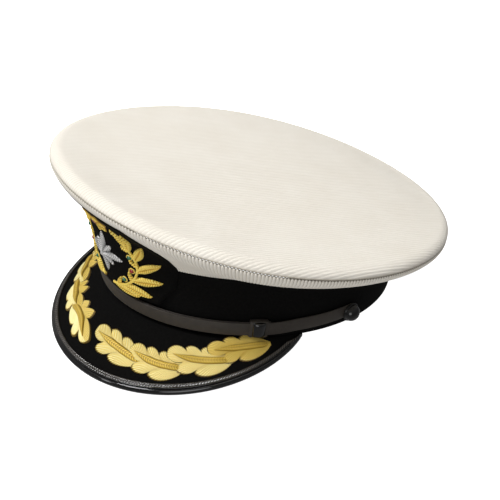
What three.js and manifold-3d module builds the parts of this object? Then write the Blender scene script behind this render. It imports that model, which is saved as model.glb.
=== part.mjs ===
// A service dress peaked cap: white corded crown, black band, drooping peak with gold oak leaves, chin strap
// and badge. The pieces are worked out in the cap's own frame, in millimetres: the band's lower edge lies in
// the plane z = 0, +Z is up through the crown, -Y is the front and +X is the wearer's left. Angles round the
// head are in degrees, 0 at the wearer's left and -90 at the front. The whole cap is then leaned back, as it
// rests on a table on the front of its peak and the back of its band.
import * as THREE from "three";
import Module from "manifold-3d";

// Driving dimensions, in millimetres and degrees
const FRONT = -90;
const GAP = 0.3;
const BAND = { halfWidth: 81.5, halfLength: 100.3, height: 40.2, wall: 3, frontLean: 7, leanFocus: 7 };
const RIM = { halfWidth: 118.2, halfLength: 128.6, forward: 7.6 };
const RIM_HEIGHT = { side: 62.8, slope: 15.3, bow: 1.5, sweep: 4.2 };
const EDGE = { rollOut: 7.2, rollDown: 5.4, seamOut: 3.6, seamDown: 1.8 };
const CLOTH = { wall: 1.5, dome: 2, flatShares: [0, 0.45, 0.8] };
const SIDE = { drop: 8.5, ease: 12.3, lift: 2.3, frontTuck: 1.8, frontEase: 2.4, frontRise: 19.3, focus: 3 };
const PEAK = { reach: 49.9, droop: 47.4, sideRelief: 15.7, halfAngle: 79.9, taper: 2.03, fullness: 0.9 };
const PEAK_EDGE = { baseHeight: 1, wall: 2.5, end: 0.98, leastShare: 0.3 };
const BINDING = { wall: 1.1, flange: 6.4, flangeShare: 0.6, inset: 2.1 };
const STRAP = { width: 8.5, wall: 1, sideHeight: 5.3, frontDip: 2.6, innerLayer: 1.2, outerLayer: 2.5 };
const STRAP_END = { past: 6, leastWidth: 0.4, pastKeeper: 4.5, settle: [1, 12], apart: 0.5 };
const KEEPER = { angle: -28.6, length: 8.6, collarLength: 11.8, wall: 1.1, collarWall: 0.6, bulge: 1.4 };
const BUTTON = { angle: 8.7, drop: 0.9, radius: 6.1, height: 6.4, rim: 1, shank: 1.5, drill: 8 };
const BADGE = { bottom: 13.4, top: 75, lean: 16, halfWidth: 47, arc: 1.58, lift: 0.9 };
const PADDING = { base: 5, least: 1, top: 0.6, thinFrom: 45, margin: 0.4 };
const TABLE = { flat: 0.35, size: 600, depth: 40 };
const FACETS = { turns: 52, side: 6, roll: 4, peak: 26, peakDepth: 4, fold: 4, strap: 36, strapEnd: 4 };
const SMALL_FACETS = { oak: 16, stem: 8, sprigLeaf: 4, backing: 14, button: 12, hole: 16, bead: 10 };
const CURVE_FACETS = { keeper: 6, button: 4, bead: 3 };
const WELD = 0.004;
const PATH_STEP = 0.01;
const HALVINGS = 30;

// One row for each oak leaf: its tip and its base on the peak, as the share of the peak's half angle towards
// the wearer's left and the share of the way from band to edge. Bow is how far its middle lies towards the
// peak's edge, as a share of the same way, and swell sets its breadth.
const OAK_LEAVES = [
  { name: "left_1", tip: [0.035, 0.475], base: [0.295, 0.6], bow: -0.02, swell: 1 },
  { name: "left_2", tip: [0.238, 0.475], base: [0.475, 0.595], bow: 0.03, swell: 1 },
  { name: "left_3", tip: [0.402, 0.395], base: [0.665, 0.49], bow: 0.023, swell: 0.98 },
  { name: "left_4", tip: [0.57, 0.3], base: [0.83, 0.255], bow: -0.02, swell: 0.9 },
  { name: "right_1", tip: [0.005, 0.68], base: [-0.24, 0.6], bow: -0.115, swell: 0.98 },
  { name: "right_2", tip: [-0.175, 0.51], base: [-0.39, 0.5], bow: 0, swell: 1 },
  { name: "right_3", tip: [-0.335, 0.38], base: [-0.585, 0.465], bow: 0, swell: 0.96 },
  { name: "right_4", tip: [-0.53, 0.36], base: [-0.79, 0.265], bow: 0, swell: 0.9 },
];
const OAK = { halfWidth: 9, foot: 0.42, footEnd: 0.34, roundFrom: 0.7, tipWidth: 0.8, tipTaper: [0.4, 0.85] };
const LOBE = { length: 0.31, first: 0.1, shift: 0.06, depth: 0.34 };
const OAK_RELIEF = { edge: 0.7, crown: 1.1, cut: 1, bandClearance: 4 };

// The badge's backing: half its width at shares of the way up it.
const BACKING = [
  { share: 0, halfWidth: 37 },
  { share: 0.1, halfWidth: 40 },
  { share: 0.25, halfWidth: 46.5 },
  { share: 0.42, halfWidth: 47 },
  { share: 0.57, halfWidth: 45 },
  { share: 0.74, halfWidth: 43.5 },
  { share: 0.84, halfWidth: 41.5 },
  { share: 0.92, halfWidth: 37 },
  { share: 1, halfWidth: 29 },
];

// One row for each leaf of a badge branch: where it springs from it, how far it leans out, and its length.
const SPRIG_LEAVES = [
  { along: 0.06, lean: 20, length: 18 },
  { along: 0.09, lean: -50, length: 8 },
  { along: 0.22, lean: 42, length: 18.5 },
  { along: 0.37, lean: -52, length: 7.5 },
  { along: 0.4, lean: 46, length: 18.5 },
  { along: 0.58, lean: 46, length: 17.5 },
  { along: 0.64, lean: -50, length: 7 },
  { along: 0.76, lean: 42, length: 16 },
  { along: 0.88, lean: -46, length: 6.5 },
  { along: 0.9, lean: 34, length: 14 },
  { along: 0.98, lean: -2, length: 11 },
];
const SPRIG = { across: 3, up: 27, reach: 22, from: -86, to: 46, leafWidth: 0.34, stem: 0.9 };
const SPRIG_RELIEF = { edge: 0.6, crown: 0.9 };
const POINTED = { start: 0.06, fullness: 0.8, least: 0.35 };
const STAR = { up: 26, rays: [15, 5, 10, 5], turns: 4, hole: 0, edge: 0.6, peak: 2.6 };
const ROSETTE = { up: 50, rays: [8.6, 6.4], turns: 8, hole: 0.42, edge: 0.6, peak: 1.8 };
const BERRIES = [
  { along: 0.27, finish: "green" },
  { along: 0.54, finish: "red" },
  { along: 0.79, finish: "green" },
];
const BERRY = { radius: 1.7, height: 1.5, rim: 0.3, inside: 3.3 };
const ROSETTE_BEAD = { radius: 3, height: 1.9, rim: 0.3 };

// Finishes
const FINISH = {
  cloth: { color: 0xece8dd, roughness: 0.85, metalness: 0 },
  felt: { color: 0x0d0d0d, roughness: 0.95, metalness: 0 },
  patent: { color: 0x0b0b0b, roughness: 0.18, metalness: 0 },
  strap: { color: 0x2a2725, roughness: 0.45, metalness: 0 },
  button: { color: 0x141414, roughness: 0.3, metalness: 0 },
  gold: { color: 0xd9b24a, roughness: 0.45, metalness: 0.5 },
  silver: { color: 0xcfcfd2, roughness: 0.35, metalness: 0.6 },
  red: { color: 0xa3201a, roughness: 0.2, metalness: 0 },
  green: { color: 0x1d6b3a, roughness: 0.2, metalness: 0 },
};

const wasm = await Module();
wasm.setup();
const UP = new THREE.Vector3(0, 0, 1);
const { degToRad: radians, radToDeg: degrees, lerp, smoothstep, clamp } = THREE.MathUtils;
const steps = (from, to, count) => Array.from({ length: count + 1 }, (_, i) => lerp(from, to, i / count));
const TURN_ANGLES = steps(0, 360, FACETS.turns).slice(0, -1);
const mirrorAngle = (angle) => 2 * FRONT - angle;
const frontness = (angle) => Math.max(0, -Math.sin(radians(angle)));

// Solids

// Closed geometry from quads and triangles given as corner points. Corners that coincide are shared, and
// faces that collapse are dropped.
function closedGeometry(faces) {
  const index = new Map();
  const positions = [];
  const corner = (p) => {
    const key = [p.x, p.y, p.z].map((v) => Math.round(v / WELD)).join();
    if (!index.has(key)) {
      index.set(key, positions.length / 3);
      positions.push(p.x, p.y, p.z);
    }
    return index.get(key);
  };
  const triangles = [];
  const addTriangle = (a, b, c) => {
    if (a !== b && b !== c && c !== a) triangles.push(a, b, c);
  };
  for (const face of faces) {
    const ids = face.map(corner);
    addTriangle(ids[0], ids[1], ids[2]);
    if (ids.length === 4) addTriangle(ids[0], ids[2], ids[3]);
  }
  if (signedVolume(positions, triangles) < 0) triangles.reverse();
  return new THREE.BufferGeometry()
    .setAttribute("position", new THREE.Float32BufferAttribute(positions, 3))
    .setIndex(triangles);
}

// Six times the volume inside the triangles, negative where they face inwards.
function signedVolume(positions, triangles) {
  const point = (i) => new THREE.Vector3().fromArray(positions, 3 * triangles[i]);
  let volume = 0;
  for (let i = 0; i < triangles.length; i += 3) volume += point(i).dot(point(i + 1).cross(point(i + 2)));
  return volume;
}

// A solid between two grids of points, front[i][j] and back[i][j], closed along its borders. A round one
// joins its last row to its first.
function sheetSolid(front, back, round = false) {
  const faces = [];
  const rows = front.length;
  const last = front[0].length - 1;
  for (let i = 0; i < (round ? rows : rows - 1); i++) {
    const k = (i + 1) % rows;
    for (let j = 0; j < last; j++) {
      faces.push([front[i][j], front[k][j], front[k][j + 1], front[i][j + 1]]);
      faces.push([back[i][j], back[i][j + 1], back[k][j + 1], back[k][j]]);
    }
    faces.push([front[i][0], back[i][0], back[k][0], front[k][0]]);
    faces.push([front[i][last], front[k][last], back[k][last], back[i][last]]);
  }
  const end = rows - 1;
  for (let j = 0; j < last && !round; j++) {
    faces.push([front[0][j], front[0][j + 1], back[0][j + 1], back[0][j]]);
    faces.push([front[end][j], back[end][j], back[end][j + 1], front[end][j + 1]]);
  }
  return closedGeometry(faces);
}

function toManifold(geometry) {
  const vertProperties = new Float32Array(geometry.getAttribute("position").array);
  const triVerts = new Uint32Array(geometry.index.array);
  return new wasm.Manifold(new wasm.Mesh({ numProp: 3, vertProperties, triVerts }));
}

function fromManifold(manifold) {
  const mesh = manifold.getMesh();
  const corner = (i) => new THREE.Vector3().fromArray(mesh.vertProperties, mesh.numProp * mesh.triVerts[i]);
  const faces = [];
  for (let i = 0; i < mesh.triVerts.length; i += 3) faces.push([corner(i), corner(i + 1), corner(i + 2)]);
  return closedGeometry(faces);
}

// A three.js primitive as a closed geometry, placed by a matrix.
function placed(primitive, matrix) {
  const loose = primitive.index ? primitive.toNonIndexed() : primitive;
  const flat = loose.applyMatrix4(matrix).getAttribute("position");
  const corner = (i) => new THREE.Vector3().fromBufferAttribute(flat, i);
  const faces = [];
  for (let i = 0; i < flat.count; i += 3) faces.push([corner(i), corner(i + 1), corner(i + 2)]);
  return closedGeometry(faces);
}

// A quarter round profile for turning, from the rim in to the axis.
function domeProfile(radius, foot, height, count) {
  const dome = steps(0, Math.PI / 2, count);
  const profile = dome.map((a) => new THREE.Vector2(radius * Math.cos(a), foot + height * Math.sin(a)));
  profile[count].x = 0;
  return profile;
}

// Surfaces of the cap

// A point on the band's outer face, moved outwards by out. The front of the band leans forward as it rises.
function bandPoint(angle, height, out = 0) {
  const lean = BAND.frontLean * (height / BAND.height) * frontness(angle) ** BAND.leanFocus;
  const x = (BAND.halfWidth + lean + out) * Math.cos(radians(angle));
  const y = (BAND.halfLength + lean + out) * Math.sin(radians(angle));
  return new THREE.Vector3(x, y, height);
}

function bandNormal(angle) {
  const a = radians(angle);
  return new THREE.Vector3(Math.cos(a) / BAND.halfWidth, Math.sin(a) / BAND.halfLength, 0).normalize();
}

// The height of the crown's rim at s, which runs from -1 at the front to 1 at the back.
function rimHeight(s) {
  return RIM_HEIGHT.side - RIM_HEIGHT.slope * s + RIM_HEIGHT.bow * s * s - RIM_HEIGHT.sweep * s ** 3;
}

// A point of the crown's edge. Out and up are measured from the middle of the rim.
function rimPoint(angle, out, up) {
  const s = Math.sin(radians(angle));
  const x = (RIM.halfWidth + out) * Math.cos(radians(angle));
  return new THREE.Vector3(x, (RIM.halfLength + out) * s - RIM.forward, rimHeight(s) + up);
}

// The side panel's outer curve, from the seam under the rim down to the top of the band.
function sideCurve(angle) {
  const front = frontness(angle) ** SIDE.focus;
  const outwards = bandNormal(angle);
  const seam = rimPoint(angle, EDGE.seamOut, -EDGE.seamDown - GAP);
  const foot = bandPoint(angle, BAND.height + GAP);
  const fall = seam.clone().addScaledVector(outwards, -SIDE.frontTuck * front);
  fall.addScaledVector(UP, -SIDE.drop);
  const ease = foot.clone().addScaledVector(outwards, SIDE.ease - SIDE.frontEase * front);
  ease.addScaledVector(UP, SIDE.lift + SIDE.frontRise * front);
  return new THREE.CubicBezierCurve3(seam, fall, ease, foot);
}

// The outermost skin at the front of the cap at a height: the band, or the side panel above it.
function skinPoint(angle, height) {
  if (height <= BAND.height) return bandPoint(angle, height);
  const curve = sideCurve(angle);
  let low = 0;
  let high = 1;
  for (let i = 0; i < HALVINGS; i++) {
    const middle = (low + high) / 2;
    if (curve.getPoint(middle).z > height) low = middle;
    else high = middle;
  }
  return curve.getPoint(high);
}

const peakAngle = (turn) => FRONT + turn * PEAK.halfAngle;
const peakReach = (turn) => PEAK.reach * Math.max(0, 1 - Math.abs(turn) ** PEAK.taper) ** PEAK.fullness;

// The direction in which the peak runs out and down from the band.
function peakSlope(turn) {
  const droop = radians(PEAK.droop - PEAK.sideRelief * turn * turn);
  const outwards = bandNormal(peakAngle(turn));
  return outwards.multiplyScalar(Math.cos(droop)).addScaledVector(UP, -Math.sin(droop));
}

// A point on the peak's upper face. Turn runs from -1 to 1 round the front, and share from band to edge.
function peakPoint(turn, share) {
  const base = bandPoint(peakAngle(turn), PEAK_EDGE.baseHeight, GAP);
  return base.addScaledVector(peakSlope(turn), share * peakReach(turn));
}

// The peak's upward normal on the line at a turn, square to its slope and to the band's run.
function peakNormal(turn) {
  const run = bandNormal(peakAngle(turn)).cross(UP);
  const normal = run.cross(peakSlope(turn)).normalize();
  return normal.z < 0 ? normal.negate() : normal;
}

// The badge's face over the front of the band, by millimetres across and up from its bottom edge. Its middle
// stands straight, and it thins towards its sides and its top.
function badgePoint(across, up) {
  const angle = FRONT + across / BADGE.arc;
  const outwards = bandNormal(angle);
  const rise = up * Math.cos(radians(BADGE.lean));
  const height = BADGE.bottom + rise;
  const least = lerp(PADDING.least, PADDING.top, smoothstep(height, PADDING.thinFrom, BADGE.top));
  const skin = skinPoint(angle, height).addScaledVector(outwards, PADDING.margin + least);
  const straight = bandPoint(angle, BADGE.bottom, PADDING.base + Math.tan(radians(BADGE.lean)) * rise);
  const padding = Math.max(0, straight.sub(skin).dot(outwards));
  const middle = 1 - Math.min(1, Math.abs(across) / BADGE.halfWidth) ** 2;
  return skin.addScaledVector(outwards, padding * middle);
}

const PEAK_SURFACE = { at: peakPoint, stepU: 0.004, stepV: 0.01 };
const BADGE_SURFACE = { at: badgePoint, stepU: 0.5, stepV: 0.5 };

// A point on a surface, the two directions along it there, and its normal away from the head.
function surfaceFrame({ at, stepU, stepV }, u, v) {
  const point = at(u, v);
  const alongU = at(u + stepU, v).sub(at(u - stepU, v)).divideScalar(2 * stepU);
  const alongV = at(u, v + stepV).sub(at(u, v - stepV)).divideScalar(2 * stepV);
  const normal = alongU.clone().cross(alongV).normalize();
  if (normal.dot(point) < 0) normal.negate();
  return { point, normal, alongU, alongV };
}

// Steps in u and v that move one millimetre sideways from a path on a surface.
function sidewaysSteps(surface, path, s) {
  const [u, v] = path(s);
  const [nextU, nextV] = path(s + PATH_STEP);
  const { normal, alongU, alongV } = surfaceFrame(surface, u, v);
  const along = alongU.clone().multiplyScalar(nextU - u).addScaledVector(alongV, nextV - v);
  const sideways = normal.cross(along).normalize();
  const uu = alongU.dot(alongU);
  const uv = alongU.dot(alongV);
  const vv = alongV.dot(alongV);
  const su = sideways.dot(alongU);
  const sv = sideways.dot(alongV);
  const det = uu * vv - uv * uv;
  return [(su * vv - sv * uv) / det, (sv * uu - su * uv) / det];
}

// Raised work sewn on a surface along a path. Its half width depends on the place along it and the side.
function raisedSolid(surface, { path, halfWidth, relief, count, lift, keepWithin = (u, v) => v }) {
  const front = [];
  const back = [];
  for (const s of steps(0, 1, count)) {
    const [u, v] = path(s);
    const [stepU, stepV] = sidewaysSteps(surface, path, s);
    const places = [-1, 0, 1].map((side) => {
      const reach = side * halfWidth(s, side);
      const placeU = u + reach * stepU;
      return surfaceFrame(surface, placeU, keepWithin(placeU, v + reach * stepV));
    });
    const raise = (heights) =>
      places.map(({ point, normal }, i) => point.clone().addScaledVector(normal, lift + heights[i]));
    back.push(raise([0, 0, 0]));
    front.push(raise([relief.edge, relief.edge + relief.crown, relief.edge]));
  }
  return sheetSolid(front, back);
}

const straightPath = (base, tip) => (s) => [lerp(base[0], tip[0], s), lerp(base[1], tip[1], s)];

// Crown and band

// The top panel: a slightly domed oval that rolls over the rim down to the seam.
function crownTop() {
  const rollTurns = steps(0, Math.PI / 2, FACETS.roll);
  const rollOut = EDGE.seamOut - EDGE.rollOut;
  const flatPoint = (edge, share, inset) => {
    const y = lerp(-RIM.forward, edge.y, share);
    const height = rimHeight((y + RIM.forward) / RIM.halfLength) + CLOTH.dome * (1 - share * share);
    return new THREE.Vector3(edge.x * share, y, height + EDGE.rollDown - EDGE.seamDown - inset);
  };
  const rollPoint = (angle, turn, inset) => {
    const out = rollOut + (EDGE.rollOut - inset) * Math.sin(turn);
    return rimPoint(angle, out, (EDGE.rollDown - inset) * Math.cos(turn) - EDGE.seamDown);
  };
  const face = (inset) =>
    TURN_ANGLES.map((angle) => {
      const edge = rimPoint(angle, rollOut, 0);
      const flat = CLOTH.flatShares.map((share) => flatPoint(edge, share, inset));
      return [...flat, ...rollTurns.map((turn) => rollPoint(angle, turn, inset))];
    });
  return sheetSolid(face(0), face(CLOTH.wall), true);
}

// The side panel, from the seam in to the band. Both its edges are cut level.
function crownSide() {
  const outer = TURN_ANGLES.map((angle) => sideCurve(angle).getPoints(FACETS.side));
  const inner = outer.map((row, i) => {
    const outwards = bandNormal(TURN_ANGLES[i]);
    return row.map((p, j) => {
      if (j === 0 || j === FACETS.side) return p.clone().addScaledVector(outwards, -CLOTH.wall);
      const tangent = row[j + 1].clone().sub(row[j - 1]);
      const fall = -tangent.z;
      const draw = -tangent.dot(outwards);
      const share = CLOTH.wall / Math.hypot(fall, draw);
      return p.clone().addScaledVector(outwards, -fall * share).addScaledVector(UP, draw * share);
    });
  });
  return sheetSolid(outer, inner, true);
}

function headBand() {
  const wall = (out) => TURN_ANGLES.map((angle) => [0, BAND.height].map((z) => bandPoint(angle, z, out)));
  return sheetSolid(wall(0), wall(-BAND.wall), true);
}

// Peak

const peakTurns = steps(-PEAK_EDGE.end, PEAK_EDGE.end, FACETS.peak);

// The stiff peak inside its binding. Its inner edge stands square to the band that it is sewn to.
function peakBody() {
  const parts = steps(0, 1, FACETS.peakDepth);
  const outerShare = (turn) => Math.max(1 - BINDING.inset / peakReach(turn), PEAK_EDGE.leastShare);
  const top = peakTurns.map((turn) => parts.map((part) => peakPoint(turn, part * outerShare(turn))));
  const bottom = peakTurns.map((turn, i) => {
    const normal = peakNormal(turn);
    const upright = UP.clone().divideScalar(normal.z);
    return parts.map((part, j) => {
      const depth = upright.clone().lerp(normal, Math.min(1, 2 * part));
      return top[i][j].clone().addScaledVector(depth, -PEAK_EDGE.wall);
    });
  });
  return sheetSolid(top, bottom);
}

// The leather binding, folded over the peak's outer edge.
function peakBinding() {
  const depth = PEAK_EDGE.wall / 2 + GAP + BINDING.wall;
  const section = (turn, inset) => {
    const slope = peakSlope(turn);
    const normal = peakNormal(turn);
    const half = depth - inset;
    const flangeEnd = depth - Math.min(BINDING.flange, BINDING.flangeShare * peakReach(turn));
    const middle = peakPoint(turn, 1).addScaledVector(slope, -depth);
    middle.addScaledVector(normal, -PEAK_EDGE.wall / 2);
    const place = (along, up) => middle.clone().addScaledVector(slope, along).addScaledVector(normal, up);
    const foldTurns = steps(Math.PI / 2, -Math.PI / 2, FACETS.fold);
    const fold = foldTurns.map((a) => place(half * Math.cos(a), half * Math.sin(a)));
    return [place(flangeEnd, half), ...fold, place(flangeEnd, -half)];
  };
  const face = (inset) => peakTurns.map((turn) => section(turn, inset));
  return sheetSolid(face(0), face(BINDING.wall));
}

// Half the breadth of an oak leaf along its length: a narrow foot, a round tip, and round lobes that are out
// of step on its two sides.
function oakHalfWidth(swell, grow) {
  return (s, side) => {
    const foot = lerp(OAK.foot, 1, smoothstep(s, 0, OAK.footEnd));
    const endShare = Math.max(0, (s - OAK.roundFrom) / (1 - OAK.roundFrom));
    const roundEnd = Math.sqrt(Math.max(0, 1 - endShare * endShare));
    const taper = lerp(1, OAK.tipWidth, smoothstep(s, ...OAK.tipTaper));
    const lobeTurn = (Math.PI * (s - LOBE.first + side * LOBE.shift)) / LOBE.length;
    const lobe = Math.sqrt(Math.abs(Math.sin(lobeTurn)));
    return OAK.halfWidth * swell * foot * roundEnd * taper * (1 - LOBE.depth * (1 - lobe)) + grow;
  };
}

// A leaf's midrib from its base to its tip, bowed across the peak.
const bowedPath = ({ base, tip, bow }) => (s) => {
  const [turn, reach] = straightPath(base, tip)(s);
  return [turn, reach + bow * Math.sin(Math.PI * s)];
};

// The share of the peak's width at a place, held clear of the strap and of the binding.
function withinPeak(turn, share) {
  const reach = peakReach(turn);
  return clamp(share, OAK_RELIEF.bandClearance / reach, 1 - (BINDING.flange + GAP) / reach);
}

function oakLeaf(row, grow = 0, thicken = 0) {
  return raisedSolid(PEAK_SURFACE, {
    path: bowedPath(row),
    halfWidth: oakHalfWidth(row.swell, grow),
    relief: { edge: OAK_RELIEF.edge + 2 * thicken, crown: OAK_RELIEF.crown },
    count: SMALL_FACETS.oak,
    lift: GAP - thicken,
    keepWithin: withinPeak,
  });
}

// Each leaf stops short of the next one out along its spray, whose tip lies over its base.
function oakLeafBelow(row, over) {
  if (!over || over.base[0] * row.base[0] < 0) return oakLeaf(row);
  const cutter = toManifold(oakLeaf(over, GAP, OAK_RELIEF.cut));
  const pieces = toManifold(oakLeaf(row)).subtract(cutter).decompose();
  pieces.sort((a, b) => b.volume() - a.volume());
  return fromManifold(pieces[0]);
}

// Chin strap

const strapFoot = (angle) => STRAP.sideHeight + STRAP.frontDip * Math.sin(radians(angle));
const endTurn = degrees(STRAP_END.past / BAND.halfLength);
const buttonEnd = BUTTON.angle + endTurn;
const keeperEnd = KEEPER.angle + STRAP_END.pastKeeper;

// A strap between two angles, round at its buttoned end. Layer gives its distance from the band at an angle.
function strapSolid(from, to, buttoned, layer) {
  const row = (angle, out) => {
    const short = Math.max(0, 1 - Math.abs(angle - buttoned) / endTurn);
    const half = (STRAP.width / 2) * Math.max(Math.sqrt(1 - short * short), STRAP_END.leastWidth);
    const middle = strapFoot(angle) + STRAP.width / 2;
    return [middle - half, middle + half].map((z) => bandPoint(angle, z, out));
  };
  const inwards = buttoned === to ? -1 : 1;
  const end = steps(0, endTurn, FACETS.strapEnd).map((turn) => buttoned + inwards * turn);
  const clear = (angle) => Math.abs(angle - buttoned) > endTurn + STRAP_END.apart;
  const rest = steps(from, to, FACETS.strap).filter(clear);
  const angles = [...end, ...rest].sort((a, b) => a - b);
  const face = (extra) => angles.map((angle) => row(angle, layer(angle) + extra));
  return sheetSolid(face(STRAP.wall), face(0));
}

// The strap buttoned at the wearer's left lies outermost, and settles on the band past the other's keeper.
function outerStrap() {
  const [start, stop] = STRAP_END.settle.map((turn) => keeperEnd + turn);
  const layer = (angle) => lerp(STRAP.outerLayer, STRAP.innerLayer, smoothstep(angle, start, stop));
  return strapSolid(mirrorAngle(keeperEnd), buttonEnd, buttonEnd, layer);
}

// The strap buttoned at the wearer's right lies against the band.
function innerStrap() {
  const end = mirrorAngle(buttonEnd);
  return strapSolid(end, keeperEnd, end, () => STRAP.innerLayer);
}

// Axes at a place on the strap: out from the band, along the strap and up.
function strapFrame(angle, out) {
  const outwards = bandNormal(angle);
  const along = UP.clone().cross(outwards);
  const middle = bandPoint(angle, strapFoot(angle) + STRAP.width / 2, out);
  return new THREE.Matrix4().makeBasis(outwards, along, UP).setPosition(middle);
}

// One loop of a keeper round both straps, swelling outwards towards the middle of its length.
function keeperLoop(angle, length, wall, bulge) {
  const back = GAP + KEEPER.collarWall;
  const face = STRAP.outerLayer + STRAP.wall + GAP;
  const room = STRAP.width + 2 * GAP;
  const height = room + 2 * wall;
  const plan = new THREE.Shape();
  plan.moveTo(GAP, -length / 2);
  plan.lineTo(face + wall, -length / 2);
  plan.quadraticCurveTo(face + wall + 2 * bulge, 0, face + wall, length / 2);
  plan.lineTo(GAP, length / 2);
  plan.closePath();
  const form = { depth: height, bevelEnabled: false, curveSegments: CURVE_FACETS.keeper };
  const block = new THREE.ExtrudeGeometry(plan, form).translate(0, 0, -height / 2);
  const slot = new THREE.BoxGeometry(face - back, 2 * length, room).translate((face + back) / 2, 0, 0);
  const frame = strapFrame(angle, 0);
  return toManifold(placed(block, frame)).subtract(toManifold(placed(slot, frame)));
}

// A keeper: a barrel loop, with a thinner collar that shows at each side of it.
function keeperSolid(angle) {
  const barrel = keeperLoop(angle, KEEPER.length, KEEPER.wall, KEEPER.bulge);
  const collar = keeperLoop(angle, KEEPER.collarLength, KEEPER.collarWall, 0);
  return fromManifold(barrel.add(collar));
}

// The button's frame, a little below the middle of the strap, whose own axis points away from the band.
function buttonFrame(angle) {
  const turn = new THREE.Matrix4().makeRotationZ(-Math.PI / 2).setPosition(0, 0, -BUTTON.drop);
  return strapFrame(angle, STRAP.innerLayer).multiply(turn);
}

// A domed button on a shank that passes through the strap's end to the band.
function buttonSolid(angle) {
  const foot = GAP - STRAP.innerLayer;
  const back = STRAP.wall + GAP;
  const profile = [
    new THREE.Vector2(0, foot),
    new THREE.Vector2(BUTTON.shank, foot),
    new THREE.Vector2(BUTTON.shank, back),
    new THREE.Vector2(BUTTON.radius, back),
    ...domeProfile(BUTTON.radius, back + BUTTON.rim, BUTTON.height - BUTTON.rim, CURVE_FACETS.button),
  ];
  return placed(new THREE.LatheGeometry(profile, SMALL_FACETS.button), buttonFrame(angle));
}

// The strap with the hole that the button's shank passes through.
function withButtonhole(strap, angle) {
  const radius = BUTTON.shank + GAP;
  const rod = new THREE.CylinderGeometry(radius, radius, BUTTON.drill, SMALL_FACETS.hole);
  const drill = placed(rod, buttonFrame(angle));
  return fromManifold(toManifold(strap).subtract(toManifold(drill)));
}

// Badge

// The padded backing, whose back follows the band and the side panel.
function badgeBacking() {
  const places = ({ halfWidth }) => steps(-halfWidth, halfWidth, SMALL_FACETS.backing);
  const rise = (BADGE.top - BADGE.bottom) / Math.cos(radians(BADGE.lean));
  const face = BACKING.map((row) => places(row).map((across) => badgePoint(across, row.share * rise)));
  const rear = BACKING.map((row) =>
    places(row).map((across) => {
      const angle = FRONT + across / BADGE.arc;
      const skin = skinPoint(angle, lerp(BADGE.bottom, BADGE.top, row.share));
      return skin.addScaledVector(bandNormal(angle), PADDING.margin);
    }),
  );
  return sheetSolid(face, rear);
}

// The line of a badge branch in millimetres across and up, from its foot to its head.
function sprigPlace(side, along, inside = 0) {
  const sweep = radians(lerp(SPRIG.from, SPRIG.to, along));
  const radius = SPRIG.reach - inside;
  return [side * (SPRIG.across + radius * Math.cos(sweep)), SPRIG.up + radius * Math.sin(sweep)];
}

// Half the breadth of a pointed leaf along its length.
function pointedHalfWidth(half) {
  return (s) => {
    if (s >= 1) return 0;
    const bow = Math.sin(Math.PI * lerp(POINTED.start, 1, s)) ** POINTED.fullness;
    return Math.max(half * bow, POINTED.least);
  };
}

// A branch of pointed leaves with its stem, fused into one raised piece.
function badgeSprig(side) {
  const raise = (path, halfWidth, count) =>
    toManifold(raisedSolid(BADGE_SURFACE, { path, halfWidth, count, relief: SPRIG_RELIEF, lift: BADGE.lift }));
  let branch = raise((s) => sprigPlace(side, s), () => SPRIG.stem, SMALL_FACETS.stem);
  for (const leaf of SPRIG_LEAVES) {
    const base = sprigPlace(side, leaf.along);
    const ahead = sprigPlace(side, leaf.along + PATH_STEP);
    const heading = Math.atan2(ahead[1] - base[1], ahead[0] - base[0]) - side * radians(leaf.lean);
    const tip = [base[0] + leaf.length * Math.cos(heading), base[1] + leaf.length * Math.sin(heading)];
    const half = (leaf.length * SPRIG.leafWidth) / 2;
    branch = branch.add(raise(straightPath(base, tip), pointedHalfWidth(half), SMALL_FACETS.sprigLeaf));
  }
  return fromManifold(branch);
}

// Raised rays round a middle, long and short in turn, each with a ridge. With a hole they make a ring.
function badgeRays({ up, rays, turns, hole, edge, peak }) {
  const count = rays.length * turns;
  const shares = steps(hole, 1, 2);
  const face = (raised) =>
    Array.from({ length: count }, (_, i) => {
      const turn = (2 * Math.PI * i) / count + Math.PI / 2;
      return shares.map((share) => {
        const radius = share === hole ? hole * rays[0] : rays[i % rays.length] * share;
        const place = surfaceFrame(BADGE_SURFACE, radius * Math.cos(turn), up + radius * Math.sin(turn));
        const height = raised ? lerp(peak, edge, share) : 0;
        return place.point.addScaledVector(place.normal, BADGE.lift + height);
      });
    });
  return sheetSolid(face(true), face(false), true);
}

// A small domed bead sewn on the badge at a place across and up it.
function badgeBead(place, { radius, rim, height }) {
  const { point, normal } = surfaceFrame(BADGE_SURFACE, ...place);
  const turn = new THREE.Quaternion().setFromUnitVectors(new THREE.Vector3(0, 1, 0), normal);
  const seat = point.addScaledVector(normal, BADGE.lift);
  const profile = [
    new THREE.Vector2(0, 0),
    new THREE.Vector2(radius, 0),
    ...domeProfile(radius, rim, height, CURVE_FACETS.bead),
  ];
  const frame = new THREE.Matrix4().compose(seat, turn, new THREE.Vector3(1, 1, 1));
  return placed(new THREE.LatheGeometry(profile, SMALL_FACETS.bead), frame);
}

// Assembly

function piece(name, geometry, finish) {
  const mesh = new THREE.Mesh(geometry, new THREE.MeshStandardMaterial(FINISH[finish]));
  mesh.name = name;
  return mesh;
}

// The lean at which the back of the band and the front of the peak's binding both meet the table.
function restingLean(binding) {
  const spots = binding.getAttribute("position");
  let lean = 0;
  for (let i = 0; i < spots.count; i++)
    lean = Math.max(lean, Math.atan2(-spots.getZ(i), BAND.halfLength - spots.getY(i)));
  return lean;
}

const binding = peakBinding();
const lean = restingLean(binding);
const cap = new THREE.Group();
cap.rotation.x = -lean;
cap.position.z = BAND.halfLength * Math.sin(lean) - TABLE.flat;
cap.updateMatrix();

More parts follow.
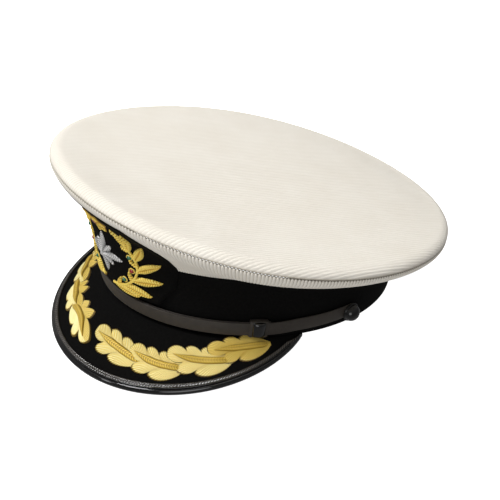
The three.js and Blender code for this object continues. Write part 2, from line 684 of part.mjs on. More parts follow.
// What the table's surface flattens is trimmed off, so that the cap stands on small flats.
const table = new THREE.BoxGeometry(TABLE.size, TABLE.size, TABLE.depth).translate(0, 0, -TABLE.depth / 2);
const tableSolid = toManifold(placed(table, cap.matrix.clone().invert()));
const flattened = (geometry) => fromManifold(toManifold(geometry).subtract(tableSolid));

cap.add(piece("crown_top", crownTop(), "cloth"));
cap.add(piece("crown_side", crownSide(), "cloth"));
cap.add(piece("head_band", flattened(headBand()), "felt"));
cap.add(piece("peak", peakBody(), "felt"));
cap.add(piece("peak_binding", flattened(binding), "patent"));
OAK_LEAVES.forEach((row, i) => {
  cap.add(piece(`peak_leaf_${row.name}`, oakLeafBelow(row, OAK_LEAVES[i + 1]), "gold"));
});
cap.add(piece("chin_strap_outer", withButtonhole(outerStrap(), BUTTON.angle), "strap"));
cap.add(piece("chin_strap_inner", withButtonhole(innerStrap(), mirrorAngle(BUTTON.angle)), "strap"));
cap.add(piece("badge_backing", badgeBacking(), "felt"));
cap.add(piece("badge_star", badgeRays(STAR), "silver"));
cap.add(piece("badge_rosette", badgeRays(ROSETTE), "gold"));
cap.add(piece("badge_rosette_bead", badgeBead([0, ROSETTE.up], ROSETTE_BEAD), "red"));
for (const [word, side] of [["left", 1], ["right", -1]]) {
  const onSide = (angle) => (side > 0 ? angle : mirrorAngle(angle));
  cap.add(piece(`strap_keeper_${word}`, keeperSolid(onSide(KEEPER.angle)), "strap"));
  cap.add(piece(`strap_button_${word}`, buttonSolid(onSide(BUTTON.angle)), "button"));
  cap.add(piece(`badge_sprig_${word}`, badgeSprig(side), "gold"));
  BERRIES.forEach((berry, i) => {
    const bead = badgeBead(sprigPlace(side, berry.along, BERRY.inside), BERRY);
    cap.add(piece(`badge_berry_${word}_${i + 1}`, bead, berry.finish));
  });
}

// The origin lies on the table, under the middle of the cap.
const box = new THREE.Box3().setFromObject(cap, true);
cap.position.y -= (box.min.y + box.max.y) / 2;

const part = new THREE.Group();
part.add(cap);
export default part;
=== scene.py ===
"""Looks for a service dress peaked cap: corded cloth, felt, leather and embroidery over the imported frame.

Pieces are worked out in the cap's own frame, in millimetres: the band's lower edge lies in the plane z = 0,
+Z is up through the crown, -Y is the front and +X is the wearer's left. Angles round the head are in degrees,
0 at the wearer's left and -90 at the front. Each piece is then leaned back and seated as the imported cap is.
"""

import math
from types import SimpleNamespace as Sizes

import bpy
import numpy as np
from mathutils import Matrix, Vector


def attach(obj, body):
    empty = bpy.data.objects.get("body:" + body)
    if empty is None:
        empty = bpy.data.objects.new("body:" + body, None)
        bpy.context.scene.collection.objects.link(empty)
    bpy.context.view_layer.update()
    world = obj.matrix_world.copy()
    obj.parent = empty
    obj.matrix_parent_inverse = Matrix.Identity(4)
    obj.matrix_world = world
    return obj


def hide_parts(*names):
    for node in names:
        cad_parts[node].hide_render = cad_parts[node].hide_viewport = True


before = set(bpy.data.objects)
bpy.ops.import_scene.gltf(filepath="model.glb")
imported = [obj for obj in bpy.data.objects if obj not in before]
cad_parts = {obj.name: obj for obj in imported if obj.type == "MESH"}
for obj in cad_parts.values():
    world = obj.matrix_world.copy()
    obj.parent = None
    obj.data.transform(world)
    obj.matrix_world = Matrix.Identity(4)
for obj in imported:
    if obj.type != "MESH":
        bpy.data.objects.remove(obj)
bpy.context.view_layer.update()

# Sizes of the cap, in millimetres and degrees
MM = 0.001
FRONT = -90.0
GAP = 0.3
UP = np.array([0.0, 0.0, 1.0])
LEAN = math.radians(9.1265)
SEAT = np.array([0.0, 4.224, 15.559])
BAND = Sizes(half_width=81.5, half_length=100.3, height=40.2, wall=3.0, soft=0.9)
BAND_LEAN = Sizes(front=7.0, focus=7)
RIM = Sizes(half_width=118.2, half_length=128.6, forward=7.6)
RIM_HEIGHT = Sizes(side=62.8, slope=15.3, bow=1.5, sweep=4.2)
EDGE = Sizes(inside=-3.6, roll_out=7.2, top=3.6, seam_out=3.6, seam_up=-1.95, tuck=0.9, spare=0.5)
CLOTH = Sizes(wall=1.5, dome=2.0, rib_pitch=2.13, rib_depth=0.42, flat_share=0.8, spare=0.02)
RIB_ROUND = 0.96
# Seam: its groove's depth and fade, the painted shade in the ribs' furrows, and the painted shadow along the
# seam
SEAM = Sizes(depth=1.1, fade=2.0, shade=0.3, line=2.1, top_dark=0.97, side_line=1.5, crest=0.4, smooth=2.6)
SIDE = Sizes(drop=8.5, ease=12.3, lift=2.3, front_tuck=1.8, front_ease=2.4, front_rise=19.3, focus=3)
SIDE_ROWS = Sizes(count=21, crowd=1.6)
PEAK = Sizes(reach=49.9, droop=47.4, side_relief=15.7, half_angle=79.9, taper=2.03, fullness=0.9)
PEAK_EDGE = Sizes(base_height=1.0, wall=2.5, end=0.99, least_share=0.3)
BINDING = Sizes(roll=2.65, flange=6.7, flange_share=0.6, inset=2.1, least=0.1, dive=1.0)
BINDING_END = Sizes(thin_from=4.0, thinnest=0.25)
LADDER = Sizes(width=2.5, height=0.55, pitch=1.9, depth=0.45, slant=0.8, sink=0.35, tones=(0.6, 0.95))
RIDGE = Sizes(height=0.8, share=0.7, half=0.6)
GROOVE = Sizes(depth=0.4, share=0.15, half=0.3)
STRAP = Sizes(width=8.5, wall=1.0, side_height=5.3, front_dip=2.6, soft=0.35)
LAYER = Sizes(inner=1.2, outer=2.5)
STRAP_END = Sizes(past=6.0, past_keeper=4.5, settle=(1.0, 12.0), least=0.04)
STRAP_HOLE = Sizes(before=8.6, radius=0.7, proud=0.02, rings=(1.0, 0.8, 0.5, 0.05))
KEEPER = Sizes(angle=-28.6, length=8.6, tall=10.4, wall=1.1, bulge=1.5)
COLLAR = Sizes(length=11.8, tall=11.6, wall=0.7, bulge=0.0)
LOOP = Sizes(corner=0.4, end=8, sink=0.3, ease=0.5, focus=6)
BUTTON = Sizes(angle=8.7, drop=0.9, radius=6.1, height=6.4, rim=1.0, lip=0.45, shank=1.5, step=0.1)
BADGE = Sizes(bottom=13.4, top=75.0, lean=16.0, half_width=47.0, arc=1.58, lift=0.2)
PADDING = Sizes(base=5.0, least=1.0, top=0.3, thin_from=45.0, margin=0.15, soft=0.02, edge=0.6)


# Numbers and grids


def stacked(x, y, z):
    return np.stack(np.broadcast_arrays(x, y, z), axis=-1).astype(float)


def mix(low, high, share):
    return low + (high - low) * share


def smoothstep(value, low, high):
    share = np.clip((value - low) / (high - low), 0.0, 1.0)
    return share * share * (3.0 - 2.0 * share)


def bell(value, width):
    return np.exp(-((value / width) ** 2))


def paired(a, b):
    return np.broadcast_arrays(np.asarray(a, float), np.asarray(b, float))


def unit(vectors):
    length = np.linalg.norm(vectors, axis=-1, keepdims=True)
    return vectors / np.maximum(length, 1e-9)


def dot(a, b):
    return np.sum(a * b, axis=-1, keepdims=True)


def travelled(points):
    """How far along a line of points each one lies."""
    steps = np.linalg.norm(np.diff(points, axis=0), axis=1)
    return np.concatenate([[0.0], np.cumsum(steps)])


def full_turn(count):
    return np.linspace(0.0, 2 * np.pi, count, endpoint=False)


def round_place(centre, radius, turn):
    return centre[0] + radius * np.cos(turn), centre[1] + radius * np.sin(turn)


def soft_oblong(low, high, soft, steps):
    """The outline of an oblong between two corners, with rounded edges."""
    turn = np.concatenate([np.linspace(0.0, np.pi / 2, steps) + k * np.pi / 2 for k in range(4)])
    right = np.repeat([True, False, False, True], steps)
    upper = np.repeat([True, True, False, False], steps)
    across = np.where(right, high[0] - soft, low[0] + soft) + soft * np.cos(turn)
    up = np.where(upper, high[1] - soft, low[1] + soft) + soft * np.sin(turn)
    return across, up


def grid_faces(rows, columns, round_rows=False, round_columns=False):
    ids = np.arange(rows * columns).reshape(rows, columns)
    if round_rows:
        ids = np.vstack([ids, ids[:1]])
    if round_columns:
        ids = np.hstack([ids, ids[:, :1]])
    corners = [ids[:-1, :-1], ids[1:, :-1], ids[1:, 1:], ids[:-1, 1:]]
    return np.stack(corners, axis=-1).reshape(-1, 4)


def grid_normals(points, round_rows=False):
    """Unit normals of a grid of points, the way its rows cross its columns."""
    if round_rows:
        down = np.roll(points, -1, 0) - np.roll(points, 1, 0)
    else:
        down = np.gradient(points, axis=0)
    return unit(np.cross(down, np.gradient(points, axis=1)))


def halve(is_low, low, high, rounds=40):
    """Solves many monotone equations at once by halving."""
    for _ in range(rounds):
        middle = (low + high) / 2.0
        below = is_low(middle)
        low = np.where(below, middle, low)
        high = np.where(below, high, middle)
    return (low + high) / 2.0


def smooth_line(corners, per_span=12):
    """A smooth line through some corners."""
    corners = np.array(corners, float)
    ends = np.vstack([2 * corners[0] - corners[1], corners, 2 * corners[-1] - corners[-2]])
    t = np.linspace(0.0, 1.0, per_span, endpoint=False)[:, None]
    line = []
    for a, b, c, d in zip(ends[:-3], ends[1:-2], ends[2:-1], ends[3:]):
        square = (2 * a - 5 * b + 4 * c - d) * t**2
        cube = (3 * b - a - 3 * c + d) * t**3
        line.append(0.5 * (2 * b + (c - a) * t + square + cube))
    return np.vstack(line + [corners[-1:]])


# Surfaces of the cap


def frontness(angle):
    return np.maximum(0.0, -np.sin(np.radians(angle)))


def mirror_angle(angle):
    return 2 * FRONT - angle


def band_point(angle, height, out=0.0):
    lean = BAND_LEAN.front * (height / BAND.height) * frontness(angle) ** BAND_LEAN.focus
    turn = np.radians(angle)
    x = (BAND.half_width + lean + out) * np.cos(turn)
    y = (BAND.half_length + lean + out) * np.sin(turn)
    return stacked(x, y, height)


def band_normal(angle):
    turn = np.radians(angle)
    return unit(stacked(np.cos(turn) / BAND.half_width, np.sin(turn) / BAND.half_length, 0.0))


def rim_height(s):
    return RIM_HEIGHT.side - RIM_HEIGHT.slope * s + RIM_HEIGHT.bow * s**2 - RIM_HEIGHT.sweep * s**3


def rim_point(angle, out, up):
    s = np.sin(np.radians(angle))
    x = (RIM.half_width + out) * np.cos(np.radians(angle))
    y = (RIM.half_length + out) * s - RIM.forward
    return stacked(x, y, rim_height(s) + up)


def side_point(angle, share, start_up):
    """The side panel's curve from the seam down to the top of the band."""
    front = frontness(angle)[..., None] ** SIDE.focus
    out = band_normal(angle)
    seam = rim_point(angle, EDGE.seam_out, start_up)
    foot = band_point(angle, BAND.height + GAP)
    fall = seam - SIDE.front_tuck * front * out - SIDE.drop * UP
    ease = foot + (SIDE.ease - SIDE.front_ease * front) * out + (SIDE.lift + SIDE.front_rise * front) * UP
    t = np.asarray(share)[..., None]
    left = 1.0 - t
    return left**3 * seam + 3 * left**2 * t * fall + 3 * left * t**2 * ease + t**3 * foot


def skin_point(angle, height):
    """The outermost skin at a height: the band, or the side panel above it."""
    angle, height = paired(angle, height)
    start = EDGE.seam_up - EDGE.tuck
    share = halve(
        lambda middle: side_point(angle, middle, start)[..., 2] > height,
        np.zeros(angle.shape),
        np.ones(angle.shape),
    )
    on_band = (height <= BAND.height)[..., None]
    band = band_point(angle, np.minimum(height, BAND.height))
    return np.where(on_band, band, side_point(angle, share, start))


def peak_angle(turn):
    return FRONT + turn * PEAK.half_angle


def peak_reach(turn):
    return PEAK.reach * np.maximum(1e-6, 1.0 - np.abs(turn) ** PEAK.taper) ** PEAK.fullness


def peak_slope(turn):
    droop = np.radians(PEAK.droop - PEAK.side_relief * turn**2)[..., None]
    return band_normal(peak_angle(turn)) * np.cos(droop) - UP * np.sin(droop)


def peak_normal(turn):
    run = np.cross(band_normal(peak_angle(turn)), UP)
    normal = unit(np.cross(run, peak_slope(turn)))
    return np.where(normal[..., 2:] < 0.0, -normal, normal)


def peak_point(turn, share):
    """A point on the peak's upper face. Turn runs from -1 to 1 round the front, share from band to edge."""
    turn, share = paired(turn, share)
    base = band_point(peak_angle(turn), PEAK_EDGE.base_height, GAP)
    return base + peak_slope(turn) * (share * peak_reach(turn))[..., None]


def badge_point(across, up):
    """The badge's face, by millimetres across and up from its bottom edge."""
    across, up = paired(across, up)
    angle = FRONT + across / BADGE.arc
    out = band_normal(angle)
    rise = up * math.cos(math.radians(BADGE.lean))
    height = BADGE.bottom + rise
    least = mix(PADDING.least, PADDING.top, smoothstep(height, PADDING.thin_from, BADGE.top))
    skin = skin_point(angle, height) + out * (PADDING.margin + least)[..., None]
    straight = band_point(angle, BADGE.bottom, PADDING.base + math.tan(math.radians(BADGE.lean)) * rise)
    padding = np.maximum(0.0, dot(straight - skin, out))
    middle = 1.0 - np.minimum(1.0, np.abs(across) / BADGE.half_width) ** 2
    return skin + out * padding * middle[..., None]


PEAK_SURFACE = Sizes(at=peak_point, step_u=0.004, step_v=0.01)
BADGE_SURFACE = Sizes(at=badge_point, step_u=0.5, step_v=0.5)


def surface_frame(surface, u, v):
    """Points on a surface, the two directions along it there, and its normals away from the head."""
    point = surface.at(u, v)
    along_u = (surface.at(u + surface.step_u, v) - surface.at(u - surface.step_u, v)) / (2 * surface.step_u)
    along_v = (surface.at(u, v + surface.step_v) - surface.at(u, v - surface.step_v)) / (2 * surface.step_v)
    normal = unit(np.cross(along_u, along_v))
    normal = np.where(dot(normal, point) < 0.0, -normal, normal)
    return point, along_u, along_v, normal


def raised(surface, u, v, height):
    """Points some millimetres above places on a surface."""
    point, _, _, normal = surface_frame(surface, u, v)
    return point + normal * np.asarray(height)[..., None]


# Materials


def set_inputs(node, **values):
    for name, value in values.items():
        node.inputs[name.replace("_", " ")].default_value = value


class Nodes:
    """The nodes of a material or of the world."""

    def __init__(self, tree):
        self.tree = tree

    def add(self, kind, **values):
        node = self.tree.nodes.new(kind)
        set_inputs(node, **values)
        return node

    def link(self, out, socket):
        self.tree.links.new(out, socket)

    def ramp(self, source, *stops):
        node = self.add("ShaderNodeValToRGB")
        while len(node.color_ramp.elements) < len(stops):
            node.color_ramp.elements.new(0.5)
        for element, (position, colour) in zip(node.color_ramp.elements, stops):
            element.position = position
            element.color = (*colour, 1.0)
        self.link(source, node.inputs["Fac"])
        return node.outputs["Color"]


class Shade(Nodes):
    """A material with object coordinates in metres."""

    def __init__(self, name, **values):
        self.material = bpy.data.materials.new(name)
        self.material.use_nodes = True
        super().__init__(self.material.node_tree)
        self.shader = self.tree.nodes["Principled BSDF"]
        set_inputs(self.shader, **values)
        self.place = self.add("ShaderNodeTexCoord").outputs["Object"]

    def noise(self, size_mm, detail=3.0, roughness=0.55):
        node = self.add("ShaderNodeTexNoise", Scale=1.0 / (size_mm * MM), Detail=detail, Roughness=roughness)
        self.link(self.place, node.inputs["Vector"])
        return node.outputs["Fac"]

    def attribute(self, name):
        node = self.add("ShaderNodeAttribute")
        node.attribute_name = name
        return node.outputs["Fac"]

    def multiply(self, first, second, share=1.0):
        node = self.add("ShaderNodeMix")
        node.data_type = "RGBA"
        node.blend_type = "MULTIPLY"
        node.inputs[0].default_value = share
        self.link(first, node.inputs[6])
        self.link(second, node.inputs[7])
        return node.outputs[2]

    def finish(self, colour, rough, grain=None):
        """Links the colour, and noise for roughness (size, least, most) and bump (noise, depth, strength)."""
        size, low, high = rough
        spread = self.add("ShaderNodeMapRange", To_Min=low, To_Max=high)
        self.link(self.noise(size), spread.inputs["Value"])
        self.link(colour, self.shader.inputs["Base Color"])
        self.link(spread.outputs["Result"], self.shader.inputs["Roughness"])
        if grain:
            noise, depth, strength = grain
            bump = self.add("ShaderNodeBump", Strength=strength, Distance=depth * MM)
            self.link(self.noise(*noise), bump.inputs["Height"])
            self.link(bump.outputs["Normal"], self.shader.inputs["Normal"])
        return self.material


WHITE = (1.0, 1.0, 1.0)


def corded_cloth():
    """Off-white cloth, with painted shade in its furrows and a darker painted shadow in the seam."""
    shade = Shade("white_corded_cloth", Sheen_Weight=0.14, Sheen_Roughness=0.4, Specular_IOR_Level=0.2)
    tint = shade.ramp(shade.noise(26.0), (0.3, (0.765, 0.72, 0.64)), (0.7, (0.795, 0.755, 0.68)))
    # Colours of the painted shadow in the seam and of the painted shade in the ribs' furrows
    seam, furrow = (0.1, 0.09, 0.08), (0.66, 0.63, 0.57)
    shaded = shade.ramp(shade.attribute("relief"), (0.0, seam), (SEAM.shade, furrow), (0.65, WHITE))
    return shade.finish(shade.multiply(tint, shaded), (3.0, 0.75, 0.95), ((0.45, 2.0), 0.08, 0.6))


def black_felt():
    shade = Shade("black_felt", Specular_IOR_Level=0.08)
    fibre = shade.noise(1.3, 4.0)
    tint = shade.ramp(fibre, (0.3, (0.0022, 0.0021, 0.002)), (0.75, (0.0046, 0.0044, 0.0042)))
    return shade.finish(tint, (2.0, 0.82, 1.0), ((0.5, 4.0, 0.7), 0.16, 0.8))


def patent_leather():
    """Glossy black leather, lighter where it is stitched: partly greyer thread and partly a painted highlight
    on the stitches' crests.
    """
    gloss = dict(Coat_Weight=1.0, Coat_Roughness=0.03, Coat_IOR=1.5)
    shade = Shade("patent_leather", Specular_IOR_Level=0.25, **gloss)
    hide = shade.ramp(shade.noise(6.0), (0.3, (0.012, 0.011, 0.01)), (0.7, (0.02, 0.018, 0.016)))
    # Lighter on the stitches' crests: greyer thread, and partly a painted highlight
    thread = shade.ramp(shade.attribute("relief"), (0.0, (0.15, 0.15, 0.15)), (1.0, (4.5, 4.3, 4.1)))
    return shade.finish(shade.multiply(hide, thread), (4.0, 0.08, 0.15), ((3.5, 2.0), 0.06, 0.2))


def strap_leather():
    """Dark leather with a soft sheen, black where a hole is punched."""
    shade = Shade("strap_leather", Sheen_Weight=0.05, Specular_IOR_Level=0.4)
    hide = shade.ramp(shade.noise(5.0), (0.3, (0.028, 0.023, 0.018)), (0.7, (0.038, 0.031, 0.025)))
    hole = shade.ramp(shade.attribute("relief"), (0.0, (0.03, 0.03, 0.03)), (0.6, WHITE))
    return shade.finish(shade.multiply(hide, hole), (2.0, 0.42, 0.58), ((0.7, 3.0), 0.08, 0.5))


def gloss_button():
    shade = Shade("black_button", Coat_Weight=0.4, Coat_Roughness=0.04, Specular_IOR_Level=0.4)
    tint = shade.ramp(shade.noise(2.5), (0.3, (0.003, 0.003, 0.003)), (0.7, (0.006, 0.0055, 0.005)))
    return shade.finish(tint, (1.5, 0.1, 0.18))


def metal_thread(name, deep, body, light, metallic):
    """Metallic thread: a painted highlight on the crest of each stitch and painted shade deep in the furrows.
    """
    shade = Shade(name, Metallic=metallic, Specular_IOR_Level=0.5, Sheen_Weight=0.1, Sheen_Roughness=0.3)
    tone = shade.ramp(shade.attribute("relief"), (0.0, deep), (0.5, body), (1.0, light))
    grain = shade.ramp(shade.noise(0.5, 2.0), (0.25, (0.9, 0.88, 0.84)), (0.7, WHITE))
    return shade.finish(shade.multiply(tone, grain, 0.8), (0.8, 0.36, 0.52), ((0.3, 2.0), 0.05, 0.5))


def bead(name, deep, light):
    shade = Shade(name, Coat_Weight=0.8, Coat_Roughness=0.08, Specular_IOR_Level=0.6)
    tint = shade.ramp(shade.noise(1.0), (0.3, deep), (0.7, light))
    return shade.finish(tint, (0.6, 0.12, 0.25))


CLOTH_WHITE = corded_cloth()
FELT = black_felt()
PATENT = patent_leather()
LEATHER = strap_leather()
GLOSS = gloss_button()
# Threads: painted shade in the furrows, the thread's own colour, painted highlight on the crests, and how
# metallic it is
GOLD = metal_thread("gold_satin_stitch", (0.11, 0.06, 0.008), (0.9, 0.66, 0.12), (1.0, 0.96, 0.52), 0.05)
GOLD_DEEP = metal_thread("gold_cord", (0.04, 0.016, 0.002), (0.5, 0.31, 0.028), (0.95, 0.69, 0.12), 0.15)
GOLD_BADGE = metal_thread("gold_bullion", (0.09, 0.035, 0.004), (0.85, 0.52, 0.05), (1.0, 0.84, 0.2), 0.15)
SILVER = metal_thread("silver_bullion", (0.02, 0.02, 0.022), (0.36, 0.36, 0.36), (1.0, 0.99, 0.98), 0.25)
RED = bead("red_bead", (0.20, 0.010, 0.006), (0.38, 0.022, 0.012))
GREEN = bead("green_bead", (0.008, 0.08, 0.03), (0.02, 0.16, 0.07))


# Meshes


def to_world(points):
    """Points of the cap's own frame, seated on the table, in metres."""
    cos, sin = math.cos(LEAN), math.sin(LEAN)
    x, y, z = np.moveaxis(np.asarray(points, float), -1, 0)
    seated = stacked(x, y * cos + z * sin, z * cos - y * sin) + SEAT
    seated[..., 2] = np.maximum(seated[..., 2], 0.0)
    return seated * MM


def add_object(name, data):
    thing = bpy.data.objects.new(name, data)
    bpy.context.scene.collection.objects.link(thing)
    return thing


class Patch:
    """Grids of points that together make one mesh, each with a relief from 0 in furrows to 1 on crests, which
    most materials paint as shade in the furrows and highlight on the crests.
    """

    def __init__(self):
        self.points, self.faces, self.relief = [], [], []
        self.count = 0

    def grid(self, points, relief=1.0, round_rows=False, round_columns=False, flip=False):
        rows, columns = points.shape[:2]
        faces = grid_faces(rows, columns, round_rows, round_columns)
        self.faces.append((faces[:, ::-1] if flip else faces) + self.count)
        self.points.append(points.reshape(-1, 3))
        self.relief.append(np.broadcast_to(relief, points.shape[:2]).reshape(-1))
        self.count += rows * columns
        return self

    def build(self, name, material, slot, nodes=()):
        mesh = bpy.data.meshes.new(name)
        mesh.from_pydata(to_world(np.vstack(self.points)).tolist(), [], np.vstack(self.faces).tolist())
        mesh.validate()
        mesh.shade_smooth()
        layer = mesh.attributes.new("relief", "FLOAT", "POINT")
        layer.data.foreach_set("value", np.concatenate(self.relief).astype(np.float32))
        mesh.materials.append(material)
        piece = add_object(name, mesh)
        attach(piece, "root")
        if nodes:
            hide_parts(*nodes)
        return piece


def rib_profile(phase):
    """Round ribs with sharp furrows, 0 to 1."""
    across = 2.0 * (phase - np.floor(phase)) - 1.0
    dip = 1.0 - np.sqrt(1.0 - RIB_ROUND * across**2)
    return 1.0 - dip / (1.0 - math.sqrt(1.0 - RIB_ROUND))


def tube(path, cord):
    """A round cord along a path of points, with a thread wound round it."""
    ahead = unit(np.gradient(path, axis=0))
    side = unit(np.cross(ahead, UP))
    up = np.cross(side, ahead)
    turn = full_turn(cord.sides)
    relief = rib_profile(travelled(path)[:, None] / cord.twist + turn / (2 * np.pi))
    ring = side[:, None] * np.cos(turn)[None, :, None] + up[:, None] * np.sin(turn)[None, :, None]
    return path[:, None] + ring * (cord.radius - cord.depth * (1.0 - relief))[..., None], relief


# Crown


def edge_profile():
    """The top panel's edge: arc length, out and up, rolling over the rim and tucking in at the seam."""
    roll = np.linspace(0.0, np.pi / 2, 200)
    tuck = np.linspace(0.0, np.pi / 2, 40)[1:]
    drop = EDGE.top - EDGE.seam_up - EDGE.tuck
    out = np.concatenate(
        [EDGE.inside + EDGE.roll_out * np.sin(roll), EDGE.seam_out - EDGE.tuck * (1.0 - np.cos(tuck))]
    )
    up = EDGE.seam_up + EDGE.tuck + np.concatenate([drop * np.cos(roll), -EDGE.tuck * np.sin(tuck)])
    return travelled(np.stack([out, up], axis=-1)), out, up


def top_point(width, depth):
    """Where the top panel's cloth lies, by its flat measures across and fore and aft from the middle."""
    arc, out_at, up_at = edge_profile()
    half_width, half_length = RIM.half_width + EDGE.inside, RIM.half_length + EDGE.inside
    past = halve(
        lambda p: (width / (half_width + p)) ** 2 + (depth / (half_length + p)) ** 2 > 1.0,
        np.zeros(width.shape),
        np.full(width.shape, arc[-1] + EDGE.spare),
    )
    share = np.hypot(width / half_width, depth / half_length)
    flat_s = depth / mix(RIM.half_length, half_length, smoothstep(share, CLOTH.flat_share, 1.0))
    flat = stacked(width, depth, rim_height(flat_s) + CLOTH.dome * (1.0 - share**2) + EDGE.top)
    cos, sin = width / (half_width + past), depth / (half_length + past)
    out, up = np.interp(past, arc, out_at), np.interp(past, arc, up_at)
    rolled = stacked((RIM.half_width + out) * cos, (RIM.half_length + out) * sin, rim_height(sin) + up)
    points = np.where((share <= 1.0)[..., None], flat, rolled)
    return points - np.array([0.0, RIM.forward, 0.0])


def top_relief(ribs, to_seam):
    """The top panel's ribs as painted shade in their furrows, with a painted shadow as a dark line along the
    seam.
    """
    line = bell(to_seam, SEAM.line)
    return mix(SEAM.shade, 1.0, ribs) * (1.0 - SEAM.top_dark * line)


def side_relief(ribs, to_seam):
    """The side panel's ribs as painted shade in their furrows, darkest close to the seam, with a painted
    shadow along the seam.
    """
    line = bell(to_seam, SEAM.side_line)
    shaded = mix(mix(SEAM.shade, 1.0, ribs), ribs, np.exp(-to_seam / SEAM.fade))
    return shaded * (1.0 - line * mix(1.0, SEAM.crest, ribs))


def make_crown_top():
    """The top panel, with ribs that run fore and aft and roll over the rim."""
    arc = edge_profile()[0][-1]
    full_width = RIM.half_width + EDGE.inside + arc
    full_length = RIM.half_length + EDGE.inside + arc
    per_rib = 6
    count = int(full_width / CLOTH.rib_pitch * per_rib)
    across = np.linspace(CLOTH.spare - full_width, full_width - CLOTH.spare, 2 * count + 1)
    along = np.sin(np.linspace(-np.pi / 2, np.pi / 2, 101))
    half = full_length * np.sqrt(1.0 - (across / full_width) ** 2)
    width, depth = np.broadcast_arrays(across[:, None], half[:, None] * along[None])
    points = top_point(width, depth)
    normals = grid_normals(points)
    normals = normals * np.sign(normals[count, len(along) // 2, 2])
    to_seam = full_length * (1.0 - np.hypot(width / full_width, depth / full_length))
    ribs = mix(rib_profile(width / CLOTH.rib_pitch), 1.0, bell(to_seam, SEAM.smooth))
    ribbed = points - normals * (CLOTH.rib_depth * (1.0 - ribs))[..., None]
    patch = Patch().grid(ribbed, top_relief(ribs, to_seam))
    coarse = (slice(None, None, 4 * per_rib), slice(None, None, 4))
    patch.grid(points[coarse] - normals[coarse] * CLOTH.wall, flip=True)
    patch.build("crown_top_cloth", CLOTH_WHITE, "white_cloth", ["crown_top"])


def make_crown_side():
    """The side panel, ribbed square to the seam, from its tucked top edge down to the band."""
    fine = np.linspace(0.0, 360.0, 4001)
    run = travelled(rim_point(fine, EDGE.seam_out, 0.0))
    ribs = round(run[-1] / CLOTH.rib_pitch)
    per_rib = 7
    phase = np.arange(ribs * per_rib) / per_rib
    angle = np.interp(phase / ribs * run[-1], run, fine)[:, None]
    tuck = np.linspace(np.pi / 2, 0.0, 5)[None]
    tuck_out = EDGE.seam_out - EDGE.tuck * (1.0 - np.cos(tuck))
    tucked = rim_point(angle, tuck_out, EDGE.seam_up - EDGE.tuck * (1.0 - np.sin(tuck)))
    share = np.linspace(0.0, 1.0, SIDE_ROWS.count)[None, 1:] ** SIDE_ROWS.crowd
    lower = side_point(np.broadcast_to(angle, (len(angle), share.shape[1])), share, EDGE.seam_up - EDGE.tuck)
    points = np.concatenate([tucked, lower], axis=1)
    normals = grid_normals(points, round_rows=True)
    normals = np.where(dot(normals, points - 2 * BAND.height * UP) < 0.0, -normals, normals)
    to_seam = travelled(points[0])[None]
    relief = rib_profile(phase)[:, None]
    deep = CLOTH.rib_depth + SEAM.depth * np.exp(-to_seam / SEAM.fade)
    ribbed = points - normals * (deep * (1.0 - relief))[..., None]
    patch = Patch().grid(ribbed, side_relief(relief, to_seam), round_rows=True)
    patch.grid(points[::20] - normals[::20] * CLOTH.wall, round_rows=True, flip=True)
    patch.build("crown_side_cloth", CLOTH_WHITE, "white_cloth", ["crown_side"])


# Band and peak


def make_head_band():
    """The felt band, with softly rounded edges."""
    angle = np.linspace(0.0, 360.0, 240, endpoint=False)[:, None]
    out, up = soft_oblong((-BAND.wall, 0.0), (0.0, BAND.height), BAND.soft, 5)
    points = band_point(angle, up[None], out[None])
    patch = Patch().grid(points, round_rows=True, round_columns=True)
    patch.build("head_band_felt", FELT, "black_felt", ["head_band"])


def make_peak():
    turn = np.linspace(-PEAK_EDGE.end, PEAK_EDGE.end, 121)[:, None]
    part = np.linspace(0.0, 1.0, 13)[None]
    outer = np.maximum(1.0 - BINDING.inset / peak_reach(turn), PEAK_EDGE.least_share)
    top = peak_point(turn, part * outer)
    normal = np.broadcast_to(peak_normal(turn), top.shape)
    depth = mix(UP / normal[..., 2:], normal, np.minimum(1.0, 2.0 * part)[..., None])
    bottom = top - depth * PEAK_EDGE.wall
    shell = np.concatenate([top, bottom[:, ::-1]], axis=1)
    Patch().grid(shell, round_columns=True).build("peak_felt", FELT, "black_felt", ["peak"])


def binding_place(turn, along, up, depth):
    """A place on the binding: along the peak's slope from the middle of its roll, and up from it."""
    slope, normal = peak_slope(turn), peak_normal(turn)
    middle = peak_point(turn, 1.0) - slope * depth[..., None] - normal * PEAK_EDGE.wall / 2
    return middle + slope * along[..., None] + normal * up[..., None]


def binding_flange(spot, inwards, flange):
    """The rise of the flange's top across its width, and its stitches' tone: ladder, ridge and groove. The
    tone is partly greyer thread and partly a painted highlight on the rungs' crests.
    """
    in_ladder = np.clip(flange * (1.0 - inwards) / LADDER.width, 0.0, 1.0)
    arch = np.sqrt(np.sin(np.pi * in_ladder))
    rungs = rib_profile(spot / LADDER.pitch + LADDER.slant * in_ladder)
    past = flange * inwards
    ridge_at = np.maximum(flange - LADDER.width, BINDING.least)
    ridge = RIDGE.height * bell(past - RIDGE.share * ridge_at, RIDGE.half)
    groove = GROOVE.depth * bell(past - GROOVE.share * ridge_at, GROOVE.half)
    rise = LADDER.height * arch - LADDER.depth * arch * (1.0 - rungs) - LADDER.sink + ridge - groove
    return np.where(inwards >= 1.0, -BINDING.dive, rise), arch * smoothstep(rungs, *LADDER.tones)


